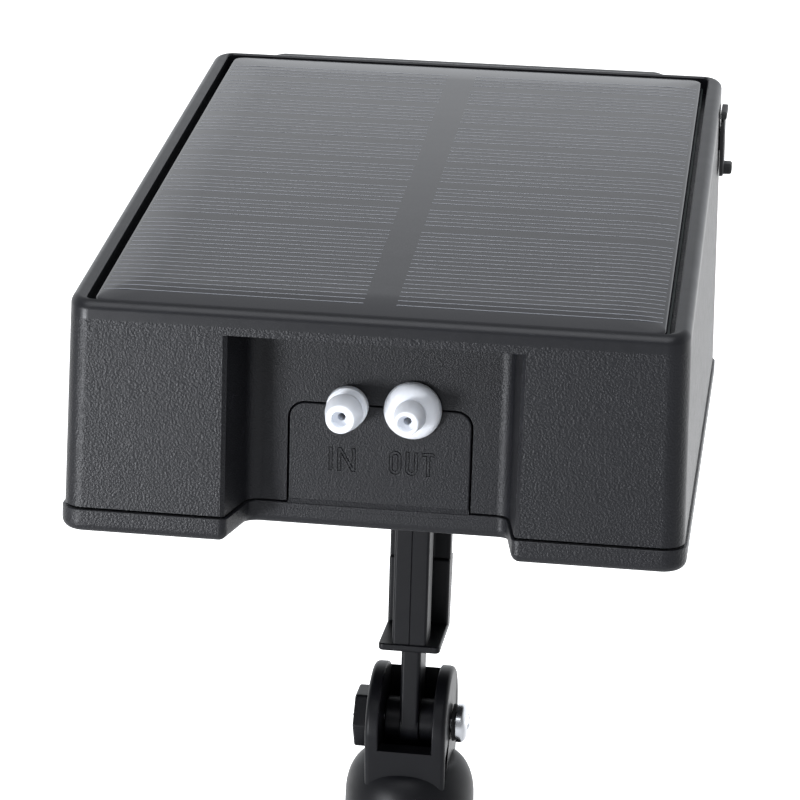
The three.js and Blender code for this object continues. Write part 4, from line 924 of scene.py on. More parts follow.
@dataclass
class UpperShell:
    """The sloping upper half of the case, with its hose recess and visor."""

    foot: float = 4.5
    roof: float = 37.2
    flare: float = 0.7
    band: float = 3.0
    visor_half: float = 43.5
    visor_reach: float = 2.6
    visor_height: float = 7.0
    lead_radius: float = 2.5
    lead_from_far: float = 25.8

    def build(self) -> bpy.types.Object:
        """The finished shell.

        Returns:
            The object.
        """
        shell = self._outer().cut(self._hollow(), self._pocket()).join(self._visor())
        shell = shell.cut(self._recess(), *self._holes())
        return add_piece(
            "upper_shell_finished", shell, "head",
            ["grained_plastic", "smooth_plastic", "fine_plastic"], form.case_frame, ["upper_shell"],
            self._finish_of)

    def _finish_of(self, centre: Vector, normal: Vector) -> int:
        """Smooth round the rim, fine in the recess and grained elsewhere."""
        if form.rim(centre.y) - centre.z < self.band - 0.1:
            return 1
        in_recess = abs(centre.x) < 26.8 and 0.2 < centre.y < 12 and centre.z < self.roof + 0.1
        return 2 if in_recess else 0

    def _outer(self) -> Solid:
        """The shell's outside, closed.

        Returns:
            The solid.
        """
        rings = [form.level_ring(self.foot, 0.12), form.level_ring(self.foot + 0.12, 0),
                 form.sloped_ring(self.band, 0)]
        for k in range(7):
            angle = math.radians(15 * k)
            rings.append(form.sloped_ring(
                form.rim_round * (1 - math.sin(angle)), form.rim_round * (1 - math.cos(angle))))
        return Solid.loft(rings)

    def _hollow(self) -> Solid:
        """The room inside, less the recess's liner and the screw pillars.

        Returns:
            The room, as a cutter.
        """
        depth = (form.pocket + form.deck) / math.cos(form.slope)
        room = Solid.loft([
            form.level_ring(self.foot - 1, form.wall, steps=4), form.sloped_ring(depth, form.wall, steps=4)])
        liner = Solid.prism(self._recess_corners(form.wall, 0.0), self.foot - 2, self.roof + form.wall)
        pillars = [Solid.rod(Axis.Z, PILLAR_RADIUS, self.foot, form.far_height, (x, y), sides=24)
                   for x, y in form.screws]
        return room.cut(liner, *pillars)

    def _pocket(self) -> Solid:
        """The panel's pocket, with its top edge broken."""
        corners = plate_corners(-form.half + 2.9, form.half - 2.9, 1.6, 1.6 + form.panel_length, 1.5)
        levels = ((-form.pocket, 0.0), (-0.3, 0.0), (0.0, -0.25), (FAR_OFF, -0.25))
        rings = [[Vector((x, y, z)) for x, y in outline(corners, inset)] for z, inset in levels]
        return Solid.loft(rings).placed(form.panel_frame)

    def _recess_corners(self, offset: float, near: float) -> list[Corner]:
        """The recess's plan with flared mouth edges, for a near wall at a place.

        Args:
            offset: How far the plan grows on every side but the near one.
            near: Place of the near wall.

        Returns:
            The corners.
        """
        mouth, back, depth = form.recess_mouth + offset, form.recess_back + offset, 11 + offset
        out = 8.0
        return [Corner(-mouth - out, near + self.flare - out), Corner(mouth + out, near + self.flare - out),
                Corner(mouth, near + self.flare), Corner(back, depth, 2.8), Corner(-back, depth, 2.8),
                Corner(-mouth, near + self.flare)]

    def _recess(self) -> Solid:
        """The cutter of the hose recess.

        Returns:
            The cutter.
        """
        rings = []
        for z in (-5.0, self.roof):
            plan = outline(self._recess_corners(0.0, form.near(z)))
            rings.append([Vector((x, y, z)) for x, y in plan])
        return Solid.loft(rings)

    def _visor(self) -> Solid:
        """The ledge that stands out of the far wall under the rim.

        Returns:
            The ledge.
        """
        def ring(shrink: float, level: Callable[[float], float]) -> Ring:
            """One ring of the ledge, shrunk and at a level for each place."""
            half, reach, end = self.visor_half - shrink, self.visor_reach - shrink, 3.7
            curve = [(half - end * t, reach * (3 * t * t - 2 * t * t * t)) for t in [k / 8 for k in range(9)]]
            plan = [(-half, -1.2), (half, -1.2), *curve, *[(-x, y) for x, y in reversed(curve)]]
            return [Vector((x, form.length + y, form.far_height + level(y))) for x, y in plan]

        rings = [ring(0.0, lambda y: -self.visor_height - max(self.visor_reach - y, 0))]
        for k in range(4):
            angle = math.radians(30 * k)
            drop = 0.65 + 0.8 * (1 - math.sin(angle))
            rings.append(ring(0.8 * (1 - math.cos(angle)), lambda y, drop=drop: -drop + y * form.rise))
        return Solid.loft(rings)

    def _holes(self) -> list[Solid]:
        """Cutters of the tongue's slot, the ports, the screw pilots, the socket and the controls.

        Returns:
            The cutters.
        """
        cutters = [Tongue().outline_prism(GAP, 0.0, 10.0, 14.4)]
        cutters += [Solid.rod(Axis.Y, 2.8, 10, 14.4, (x, form.port_height)) for x in form.ports]
        cutters += [Solid.rod(Axis.Z, 1.75, 0, 18.5, (x, y), sides=16) for x, y in form.screws]
        lead_hole = Solid.rod(
            Axis.Z, self.lead_radius, -20, 1, (0, form.panel_length - self.lead_from_far), sides=20)
        cutters.append(lead_hole.placed(form.panel_frame))
        cutters.append(Solid.prism(
            plate_corners(-5.1, 5.1, -2.4, 2.4, 1.2), -2 * form.wall, form.wall).placed(form.flap_frame))
        cutters += [c.placed(form.control_frame) for c in layout.openings(-2 * form.wall, form.wall)]
        return cutters


# ---------------------------------------------------------------- base cover


@dataclass
class Tongue:
    """The cover's plate between the hose ports, with its engraved port marks."""

    back: float = 13.4
    front: float = 11.0
    foot: float = 2.2
    letter_height: float = 4.4
    letter_foot: float = 10.7
    stroke: float = 0.72
    line: float = 0.16

    def outline_prism(self, grow: float, foot: float, start: float, end: float, edge: float = 0.0) -> Solid:
        """The tongue's outline, grown, between two places along the case."""
        top, radius = form.port_height, form.tongue_round
        half = form.tongue_half
        corners = [Corner(-half, foot), Corner(half, foot), Corner(half, top, radius),
                   Corner(-half, top, radius)]
        return Solid.prism(corners, start, end, Axis.Y, edge, 0.0, -grow)

    def build(self) -> Solid:
        """The tongue with its eased front edge and the soft step down to the cover's band.

        Returns:
            The tongue.
        """
        plate = self.outline_prism(0.0, self.foot, self.front, self.back, 0.3)
        step = Solid.prism(
            [Corner(10.5, 3.2), Corner(11.4, 3.2), Corner(11.4, 5.2), Corner(10.98, 5.0)],
            -form.tongue_half, form.tongue_half, Axis.X)
        return plate.join(step)

    def marks(self) -> list[Solid]:
        """The cutters that engrave the outlines of the words at the two ports.

        Returns:
            The cutters.
        """
        grooves = []
        for word, start, gap in (("IN", -9.1, 0.85), ("OUT", 1.75, 0.7)):
            x = start
            for letter in word:
                width, outer, inner = self._letter(letter)
                grooves.append(self._groove(outer, x, 0.0))
                if inner:
                    grooves.append(self._groove(inner, x, -self.line))
                x += width + gap
        return grooves

    def _groove(self, shape: Sequence[Corner], x: float, inset: float) -> Solid:
        """A narrow band along an outline, cut a little into the tongue's face."""
        corners = [Corner(x + c.x, self.letter_foot + c.y, c.radius, c.steps) for c in shape]
        start, end = self.front - 1, self.front + 0.22
        band = Solid.prism(corners, start, end, Axis.Y, inset=inset)
        return band.cut(Solid.prism(corners, start - 1, end + 1, Axis.Y, inset=inset + self.line))

    def _letter(self, letter: str) -> tuple[float, list[Corner], list[Corner]]:
        """Width, outer outline and inner outline of one letter.

        Args:
            letter: One capital letter of the port words.

        Returns:
            The width, the outer corners and the inner corners, which are empty for an open letter.
        """
        h, t = self.letter_height, self.stroke
        if letter == "I":
            return t, plate_corners(0, t, 0, h, 0), []
        if letter == "N":
            w, lean = 3.3, 1.25
            turns = [(0, 0), (t, 0), (t, h - lean), (w - t, 0), (w, 0), (w, h), (w - t, h), (w - t, lean),
                     (t, h), (0, h)]
            return w, [Corner(*p) for p in turns], []
        w = 2.25
        if letter == "T":
            left, right = (w - t) / 2, (w + t) / 2
            turns = [(left, 0), (right, 0), (right, h - t), (w, h - t), (w, h), (0, h), (0, h - t),
                     (left, h - t)]
            return w, [Corner(*p) for p in turns], []
        bend = w / 2 - 0.01
        if letter == "U":
            return w, [Corner(0, 0, bend, 8), Corner(w, 0, bend, 8), Corner(w, h), Corner(w - t, h),
                       Corner(w - t, t, bend - t, 8), Corner(t, t, bend - t, 8), Corner(t, h),
                       Corner(0, h)], []
        return w, plate_corners(0, w, 0, h, bend, 8), plate_corners(t, w - t, t, h - t, bend - t, 8)


@dataclass
class BaseCover:
    """The tray that closes the case, with the tongue and the post's socket."""

    height: float = 4.2
    floor: float = 2.2
    proud: float = 0.45
    edge: float = 1.8
    lip: float = 2.6
    lip_wall: float = 1.4

    def build(self) -> bpy.types.Object:
        """The finished cover.

        Returns:
            The object.
        """
        tray = self._outer().cut(self._hollow())
        lip = self._lip()
        bosses = [Solid.rod(Axis.Z, PILLAR_RADIUS, self.floor - 1, self.height, (x, y), sides=28)
                  for x, y in form.screws]
        cover = tray.join(lip, *bosses, Tongue().build(), self._socket())
        cover = cover.cut(*self._holes(), self._seal_groove(), *Tongue().marks())
        return add_piece(
            "base_cover_finished", cover, "head",
            ["grained_plastic", "fine_plastic", "smooth_plastic"], form.case_frame, ["base_cover"],
            self._finish_of)

    def _finish_of(self, centre: Vector, normal: Vector) -> int:
        """Fine on the tongue, smooth on the socket and grained elsewhere."""
        if centre.z < -0.05:
            return 2
        return 1 if abs(centre.x) < 25 and 9 < centre.y < 12 and centre.z > 0.5 else 0

    def _ring(self, z: float, inset: float) -> Ring:
        """The cover's outline with its softly curved notch."""
        return form.level_ring(z, inset, form.notch(z, 1.2, 2.4))

    def _outer(self) -> Solid:
        """The cover's outside, closed.

        Returns:
            The solid.
        """
        rings = []
        for k in range(7):
            angle = math.radians(15 * k)
            level = self.edge * (1 - math.cos(angle))
            rings.append(self._ring(level, self.edge * (1 - math.sin(angle)) - self.proud))
        rings.append(self._ring(self.height - 0.12, -self.proud))
        rings.append(self._ring(self.height, -self.proud + 0.12))
        return Solid.loft(rings)

    def _band(self, outer: float, inner: float, low: float, high: float) -> Solid:
        """A wall that follows the case and goes round the recess.

        Args:
            outer: Inset of the outer face from the case.
            inner: Inset of the inner face from the case.
            low: Low edge.
            high: High edge.

        Returns:
            The wall.
        """
        def body(inset: float, margin: float) -> Solid:
            """The case's outline as a block, with its ends moved out by a margin."""
            return Solid.loft([
                form.level_ring(z, inset, form.notch(z, 1.0, 2.8), 4) for z in (low - margin, high + margin)])

        return body(outer, 0.0).cut(body(inner, 1.0))

    def _hollow(self) -> Solid:
        """The room above the cover's floor."""
        return Solid.loft([
            form.level_ring(z, form.wall, form.notch(z, 1.0, 2.8), 4) for z in (self.floor, self.height + 1)])

    def _lip(self) -> Solid:
        """The locating lip, open at the tongue and round the pillars.

        Returns:
            The lip.
        """
        inset = form.wall + GAP
        band = self._band(inset, inset + self.lip_wall, self.floor - 1, self.height + self.lip)
        gaps = [Solid.rod(Axis.Z, 4.0, self.height, FAR_OFF, (x, y), sides=24) for x, y in form.screws]
        clear = Solid.block((-17.3, 17.3), (13.3, 16.4), (self.height, FAR_OFF))
        return band.cut(clear, *gaps)

    def _socket(self) -> Solid:
        """The socket that takes the post."""
        return Solid.prism(
            plate_corners(-8.9, 8.9, form.hinge_from_near - 11.2, form.hinge_from_near + 11.2, 1.2),
            -10.0, self.floor - 1, Axis.Z, 0.6, 0.0)

    def _holes(self) -> list[Solid]:
        """Cutters of the post's housing, the screws and the ports.

        Returns:
            The cutters.
        """
        middle = form.hinge_from_near
        cutters = [Solid.block((-6.5, 6.5), (middle - 8.8, middle + 8.8), (-FAR_OFF, 0.0))]
        for x, y in form.screws:
            head = [(0, -1), (3.35, -1), (3.35, 0.0), (3.1, 0.25), (3.1, 2.6), (0, 2.6)]
            cutters.append(Solid.turned(head, Axis.Z, (x, y), 28))
            cutters.append(Solid.rod(Axis.Z, 1.75, 0, self.height + 1, (x, y), sides=20))
        cutters += [Solid.rod(Axis.Y, 2.8, 10, 14.4, (x, form.port_height)) for x in form.ports]
        cutters.append(Solid.rod(Axis.Y, 2.05, middle + 7.5, middle + FAR_OFF, (0, -Post.screw_drop),
                                 sides=24))
        return cutters

    def _seal_groove(self) -> Solid:
        """The groove of the seal, which stops at both sides of the tongue."""
        groove = self._band(0.175, 1.775, self.height - 1.3, self.height + 1)
        return groove.cut(Solid.block((-17.3, 17.3), (10, 14.4), (0, FAR_OFF)))


# ---------------------------------------------------------------- solar panel


@dataclass
class SolarPanel:
    """Clear resin cast over two columns of cells, crowned towards its middle."""

    half: float = 50.1
    margin: float = 0.3
    thickness: float = 1.4
    crown: float = 0.42
    crown_width: float = 9.0
    first_line: float = 5.0
    pitch: float = 1.8
    line_width: float = 0.18
    gap_after: int = 19
    group: int = 6

    def build(self) -> None:
        """The resin, its gridlines and the layers under it."""
        placing = form.case_frame @ form.panel_frame
        add_piece("panel_resin_finished", self._resin(), "head", ["clear_resin"], placing,
                  ["panel_resin"], crease=60)
        lines = self._gridlines()
        add_piece("panel_gridlines", lines, "head", ["grid_line"], placing)
        dress("solar_cell_left", "silicon_cell")
        dress("solar_cell_right", "silicon_cell")
        dress("panel_backing", "panel_laminate")

    def _drop(self, inside: float) -> float:
        """How far the resin lies below its crown at a distance inside its edge."""
        share = max(1 - inside / self.crown_width, 0.0)
        return self.crown * share * share

    def _resin(self) -> Solid:
        """The resin with its rolled edge.

        Returns:
            The solid.
        """
        start, end = 1.6 + self.margin, 1.6 + form.panel_length - self.margin
        edge = 0.5
        levels = [(0.0, -self.thickness), (0.0, -self._drop(0) - edge)]
        for k in range(1, 6):
            angle = math.radians(18 * k)
            inside = edge * (1 - math.cos(angle))
            levels.append((inside, -self._drop(inside) - edge * (1 - math.sin(angle))))
        levels += [(inside, -self._drop(inside))
                   for inside in (1.0, 1.6, 2.4, 3.4, 4.6, 6.0, 7.5, self.crown_width)]
        rings = []
        for inside, level in levels:
            shape = plate_corners(
                -self.half + self.margin + inside, self.half - self.margin - inside,
                start + inside, end - inside, 2.0 + inside * 0.5, 8)
            rings.append([Vector((x, y, level)) for x, y in outline(shape)])
        return Solid.loft(rings)

    def _gridlines(self) -> Solid:
        """The cells' printed lines, repeated by a node tree and bent over the resin's edge.

        Returns:
            The lines as one solid.
        """
        tree = bpy.data.node_groups.new("gridlines", "GeometryNodeTree")
        tree.interface.new_socket("Geometry", in_out="OUTPUT", socket_type="NodeSocketGeometry")
        rows = int((form.panel_length - self.first_line - 4.2) / self.pitch)
        sizes = {"Rows": rows, "Pitch": self.pitch, "First": 1.6 + self.first_line, "Inner": 2.9,
                 "Outer": 48.9, "Width": self.line_width, "Crown": self.crown,
                 "Crown width": self.crown_width,
                 "Half width": self.half - self.margin, "Middle": 1.6 + form.panel_length / 2,
                 "Half length": form.panel_length / 2 - self.margin,
                 "Gap after": self.gap_after, "Group": self.group}
        sockets = {}
        for name, value in sizes.items():
            kind = "NodeSocketInt" if isinstance(value, int) else "NodeSocketFloat"
            sockets[name] = tree.interface.new_socket(name, in_out="INPUT", socket_type=kind).identifier
        sockets["Ink"] = tree.interface.new_socket(
            "Ink", in_out="INPUT", socket_type="NodeSocketMaterial").identifier
        self._wire(NodeBuilder(tree))
        carrier = bpy.data.objects.new("gridline_carrier", bpy.data.meshes.new("gridline_carrier"))
        bpy.context.scene.collection.objects.link(carrier)
        step = carrier.modifiers.new("gridlines", "NODES")
        step.node_group = tree
        for name, value in sizes.items():
            step[sockets[name]] = value
        step[sockets["Ink"]] = finishes["grid_line"]
        made = Solid(evaluated_mesh(carrier))
        carrier.modifiers.remove(step)
        bpy.data.objects.remove(carrier)
        return made

    def _wire(self, nodes: NodeBuilder) -> None:
        """Wires the tree: one bar, two columns of rows, the gaps between groups and the bend.

        Args:
            nodes: Builder of the tree.
        """
        given = nodes.add("NodeGroupInput").outputs
        bars = []
        for side in (-1, 1):
            ends = [nodes.add("ShaderNodeCombineXYZ",
                              {0: nodes.math("MULTIPLY", given[name], side)}).outputs[0]
                    for name in ("Inner", "Outer")]
            line = nodes.add("GeometryNodeCurvePrimitiveLine", {"Start": ends[0], "End": ends[1]})
            fine = nodes.add("GeometryNodeResampleCurve", {"Curve": line.outputs[0], "Count": 24})
            bar = nodes.add("GeometryNodeCurveToMesh", {
                "Curve": fine.outputs[0], "Fill Caps": True,
                "Profile Curve": nodes.add("GeometryNodeCurvePrimitiveQuadrilateral", {
                    "Width": given["Width"], "Height": 0.06}).outputs[0]})
            bars.append(bar.outputs[0])
        both = nodes.add("GeometryNodeJoinGeometry")
        for bar in bars:
            nodes.tree.links.new(bar, both.inputs[0])
        start = nodes.add("ShaderNodeCombineXYZ", {1: given["First"]}).outputs[0]
        offset = nodes.add("ShaderNodeCombineXYZ", {1: given["Pitch"]}).outputs[0]
        rows = nodes.add("GeometryNodeMeshLine", {
            "Count": given["Rows"], "Start Location": start, "Offset": offset})
        index = nodes.add("GeometryNodeInputIndex").outputs[0]
        past = nodes.math("SUBTRACT", index, given["Gap after"])
        plain = nodes.math("COMPARE", nodes.math("MODULO", past, given["Group"]), 0.0, 0.1)
        gap = nodes.math("MULTIPLY", plain, nodes.math("GREATER_THAN", past, -0.5))
        spots = nodes.add("GeometryNodeDeleteGeometry", {"Geometry": rows.outputs[0], "Selection": gap})
        copies = nodes.add("GeometryNodeInstanceOnPoints", {
            "Points": spots.outputs[0], "Instance": both.outputs[0]})
        real = nodes.add("GeometryNodeRealizeInstances", {"Geometry": copies.outputs[0]})
        place = nodes.add("ShaderNodeSeparateXYZ",
                          {0: nodes.add("GeometryNodeInputPosition").outputs[0]}).outputs
        shares = []
        for value, middle, half in ((place[0], 0.0, given["Half width"]), (place[1], given["Middle"],
                                                                           given["Half length"])):
            out = nodes.math("ABSOLUTE", nodes.math("SUBTRACT", value, middle))
            inside = nodes.math("SUBTRACT", half, out)
            shares.append(nodes.math("SUBTRACT", 1.0, nodes.math("DIVIDE", inside, given["Crown width"])))
        share = nodes.math("MAXIMUM", nodes.math("MAXIMUM", *shares), 0.0)
        drop = nodes.math("MULTIPLY", nodes.math("MULTIPLY", share, share), given["Crown"])
        shift = nodes.add("ShaderNodeCombineXYZ", {2: nodes.math("SUBTRACT", 0.0, drop)}).outputs[0]
        bent = nodes.add("GeometryNodeSetPosition", {"Geometry": real.outputs[0], "Offset": shift})
        inked = nodes.add("GeometryNodeSetMaterial", {"Geometry": bent.outputs[0], "Material": given["Ink"]})
        nodes.add("NodeGroupOutput", {0: inked.outputs[0]})


# ---------------------------------------------------------------- hose fittings


@dataclass
class HoseFittings:
    """The two white barbs in the recess, with their flanges, shanks and inner spigots."""

    bore: float = 1.5
    throat: float = 0.7
    tip: float = 1.6
    wall_face: float = 10.7
    inner_face: float = 13.7
    inner_end: float = 20.15
    inlet_nose: float = 2.6
    outlet_nose: float = 2.2

    def build(self) -> None:
        """Both fittings and the hoses behind them."""
        inlet = [*arc(3.1, self.tip + 4.5, 0.3, -20, 80, 5), (2.85, self.tip + 5.1), (2.75, 8.75), (3.0, 8.9),
                 *arc(3.4, 9.25, 0.3, -80, 0, 4), (3.7, self.wall_face)]
        dome = [(2.25 + 2.9 * math.sin(math.radians(a)),
                 self.wall_face - 0.4 - 2.5 * math.cos(math.radians(a)))
                for a in (8, 18, 30, 42, 54, 66, 78, 90)]
        outlet = [(2.75, self.tip + 4.3), (2.85, self.tip + 4.8), (2.8, self.tip + 5.3), (2.5, 7.4), *dome,
                  (5.15, self.wall_face)]
        for name, nose, side, x in (("inlet", self.inlet_nose, inlet, form.ports[0]),
                                    ("outlet", self.outlet_nose, outlet, form.ports[1])):
            add_piece(
                f"{name}_fitting_finished", self._fitting(nose, side, x), "head",
                ["white_nylon"], form.case_frame, [f"{name}_fitting"], crease=50)
            dress(f"{name}_hose", "silicone_hose")

    def _fitting(self, nose: float, side: Sequence[Pair], x: float) -> Solid:
        """One fitting from its nose's radius and the profile of its barb and flange.

        Args:
            nose: Radius of the nose.
            side: Profile from the nose to the foot, as pairs of radius and place.
            x: Place across the case.

        Returns:
            The fitting.
        """
        lip = arc(self.bore + 0.2, self.tip + 0.2, 0.2, 180, 270, 3)
        rounded = arc(nose - 0.35, self.tip + 0.35, 0.35, -90, -10, 4)
        shank = [(2.5, self.wall_face), (2.5, self.inner_face), (3.1, self.inner_face),
                 (3.1, self.inner_face + 1), (2.0, self.inner_face + 1), (2.0, self.inner_end)]
        mouth = [(self.throat, self.inner_end), (self.throat, self.tip + 2.0), (self.bore, self.tip + 1.6)]
        profile = [*lip, *rounded, *side, *shank, *mouth, lip[0]]
        return Solid.turned(profile, Axis.Y, (x, form.port_height), 64)


# ---------------------------------------------------------------- control face


@dataclass
class ControlFace:
    """The label plate with its window, buttons and light, and what shows behind it."""

    placing: Matrix = field(default_factory=lambda: form.case_frame @ form.control_frame)

    def build(self) -> None:
        """Every piece of the control face."""
        self._plate()
        self._window()
        for name, body, y in (("power", "power_key", layout.buttons[0]),
                              ("timer", "timer_key", layout.buttons[1])):
            self._button(name, body, y)
            dress(f"{name}_switch", "switch_body")
        self._lens()
        self._digits()
        dress("display_module", "display_glass")
        dress("circuit_board", "circuit_laminate")

    def _plate(self) -> None:
        """The plate with its openings for the window, buttons and light, and its printed marks."""
        corners = plate_corners(-layout.plate_half, layout.plate_half, layout.plate_foot, layout.plate_top,
                                3.0)
        plate = Solid.prism(corners, GAP, GAP + layout.thickness, Axis.Z, 0.0, 0.3)
        plate = plate.cut(*layout.openings(-1, FAR_OFF))
        add_piece("control_plate_finished", plate, "head", ["control_label"], self.placing,
                  ["control_plate"])
        add_piece("control_marks", self._marks(), "head", ["label_ink"], self.placing)

    def _ringlet(self, x: float, y: float, radius: float, width: float, start: float, end: float) -> Solid:
        """A printed arc."""
        top = GAP + layout.thickness
        outer = arc(x, y, radius + width / 2, start, end, 28)
        inner = arc(x, y, radius - width / 2, end, start, 28)
        return Solid.prism([Corner(*p) for p in outer + inner], top - 0.05, top + 0.04)

    def _marks(self) -> Solid:
        """A power sign, a clock sign and rings round the two buttons and the light, printed beside what they
        name.

        Returns:
            The marks as one solid.
        """
        top = GAP + layout.thickness
        x = layout.button_x + 9.2
        power, timer = layout.buttons
        marks = [self._ringlet(x, power, 1.7, 0.4, 130, 410)]
        marks.append(Solid.block((x - 0.2, x + 0.2), (power + 0.2, power + 2.3), (top - 0.05, top + 0.04)))
        marks.append(self._ringlet(x, timer, 1.8, 0.4, 0.5, 359.5))
        marks.append(Solid.block((x - 0.17, x + 0.17), (timer - 0.1, timer + 1.2), (top - 0.05, top + 0.04)))
        marks.append(Solid.block((x + 0.25, x + 1.0), (timer - 0.17, timer + 0.17), (top - 0.05, top + 0.04)))
        for y in layout.buttons:
            marks.append(self._ringlet(layout.button_x, y, 5.6, 0.25, 0.5, 359.5))
        marks.append(self._ringlet(layout.window_x, layout.lens_y, 2.7, 0.2, 0.5, 359.5))
        return marks[0].join(*marks[1:])

    def _window(self) -> None:
        """The clear window."""
        half, height = layout.window_half - GAP, layout.window_half_height - GAP
        corners = plate_corners(
            layout.window_x - half, layout.window_x + half, layout.middle - height, layout.middle + height,
            0.8)
        window = Solid.prism(corners, -form.wall + 0.4, GAP + layout.thickness, Axis.Z, 0.15, 0.3)
        add_piece("display_window_finished", window, "head", ["clear_window"], self.placing,
                  ["display_window"])

    def _button(self, name: str, body: str, y: float) -> None:
        """A dished button with its flange and stem.

        Args:
            name: First word of the CAD node's name.
            body: Name of the moving body.
            y: Height on the control face.
        """
        radius, top = layout.button_radius, GAP + layout.thickness + 1.6
        stem = -layout.board_depth + 3.4 + 0.8 + GAP
        back = -form.wall - 2 * GAP
        dish = [(r, top - 0.55 * (1 - (r / 3.4) ** 2)) for r in (3.4, 2.6, 1.8, 1.0)]
        profile = [(0, stem), (1.5, stem), (1.5, back - 1), (radius + 1.4, back - 1), (radius + 1.4, back),
                   (radius, back), *arc(radius - 0.55, top - 0.55, 0.55, 0, 90, 5), *dish, (0, top - 0.55)]
        button = Solid.turned(profile, Axis.Z, (layout.button_x, y), 56)
        add_piece(f"{name}_button_finished", button, body, ["button_rubber"], self.placing,
                  [f"{name}_button"])

    def _lens(self) -> None:
        """The status light's domed lens."""
        radius, top = layout.lens_radius, GAP + layout.thickness + 0.3
        dome = [(radius * math.cos(a), top - 0.6 + 0.6 * math.sin(a))
                for a in [math.radians(15 * k) for k in range(6)]]
        profile = [(0, -layout.board_depth + GAP), (radius, -layout.board_depth + GAP), *dome, (0, top)]
        lens = Solid.turned(profile, Axis.Z, (layout.window_x, layout.lens_y), 40)
        add_piece("status_lens_finished", lens, "head", ["lens_green"], self.placing,
                  ["status_lens"])

    def _digits(self) -> None:
        """Four seven-segment digits and a colon on the display."""
        level = -form.wall - 1
        width, height, pitch = 2.9, 6.0, 4.9
        bars: list[Solid] = []
        for k, x in enumerate((-1.62, -0.62, 0.62, 1.62)):
            lit = "abcdef" if k != 1 else "bc"
            bars += self._digit(layout.window_x + x * pitch, layout.middle, width, height, level, lit)
        for y in (-1.3, 1.3):
            bars.append(Solid.block(
                (layout.window_x - 0.3, layout.window_x + 0.3),
                (layout.middle + y - 0.3, layout.middle + y + 0.3), (level - 0.04, level + 0.05)))
        add_piece("display_digits", bars[0].join(*bars[1:]), "head", ["display_segment"],
                  self.placing)

    @staticmethod
    def _digit(x: float, y: float, width: float, height: float, level: float, lit: str) -> list[Solid]:
        """The lit bars of one digit.

        Args:
            x: Centre across.
            y: Centre up.
            width: Width of the digit.
            height: Height of the digit.
            level: Level of the glass.
            lit: Letters of the lit bars.

        Returns:
            The bars.
        """
        w, h, t = width / 2, height / 2, 0.32
        spans = {"a": ((-w + t, w - t), (h - t, h + t)), "b": ((w - t, w + t), (t, h - t)),
                 "c": ((w - t, w + t), (-h + t, -t)), "d": ((-w + t, w - t), (-h - t, -h + t)),
                 "e": ((-w - t, -w + t), (-h + t, -t)), "f": ((-w - t, -w + t), (t, h - t))}
        return [Solid.block((x + u[0], x + u[1]), (y + v[0], y + v[1]), (level - 0.04, level + 0.05))
                for u, v in (spans[name] for name in lit)]


# ---------------------------------------------------------------- charging port


@dataclass
class ChargingPort:
    """The rubber flap with its pull tab over the charging socket."""

    height: float = 13.6
    length: float = 10.6
    thickness: float = 0.8
    anchor: float = 1.6
    tab: float = 2.5

    def build(self) -> None:
        """The flap, its fixed root and the socket."""
        placing = form.case_frame @ form.flap_frame
        half, top = self.length / 2, self.height / 2
        cover = Solid.prism(
            plate_corners(-half, half, -top, top - self.anchor - GAP, 1.4), GAP, GAP + self.thickness, Axis.Z,
            0.0, 0.3)
        tab = Solid.prism(
            plate_corners(-half * 0.45, half * 0.45, -top, -top + 2.2, 0.8), GAP + 0.2, GAP + self.tab,
            Axis.Z, 0, 0.5)
        plug = Solid.prism(plate_corners(-4.2, 4.2, -1.5, 1.5, 1.0), -1.2, GAP + 0.2, Axis.Z, 0.3, 0.0)
        notch = Solid.block((half - 1, half + 1), (-0.8, 0.8), (-1, FAR_OFF))
        add_piece("port_flap_finished", cover.join(tab, plug).cut(notch), "flap",
                  ["black_rubber"], placing, ["port_flap"])
        root = Solid.prism(
            plate_corners(-half, half, top - self.anchor, top, 0.6), GAP, GAP + self.thickness + 0.4, Axis.Z,
            0, 0.3)
        add_piece("flap_anchor_finished", root, "head", ["black_rubber"], placing,
                  ["flap_anchor"])
        dress("charging_socket", "bright_steel")
        dress("socket_board", "circuit_laminate")


# ---------------------------------------------------------------- post


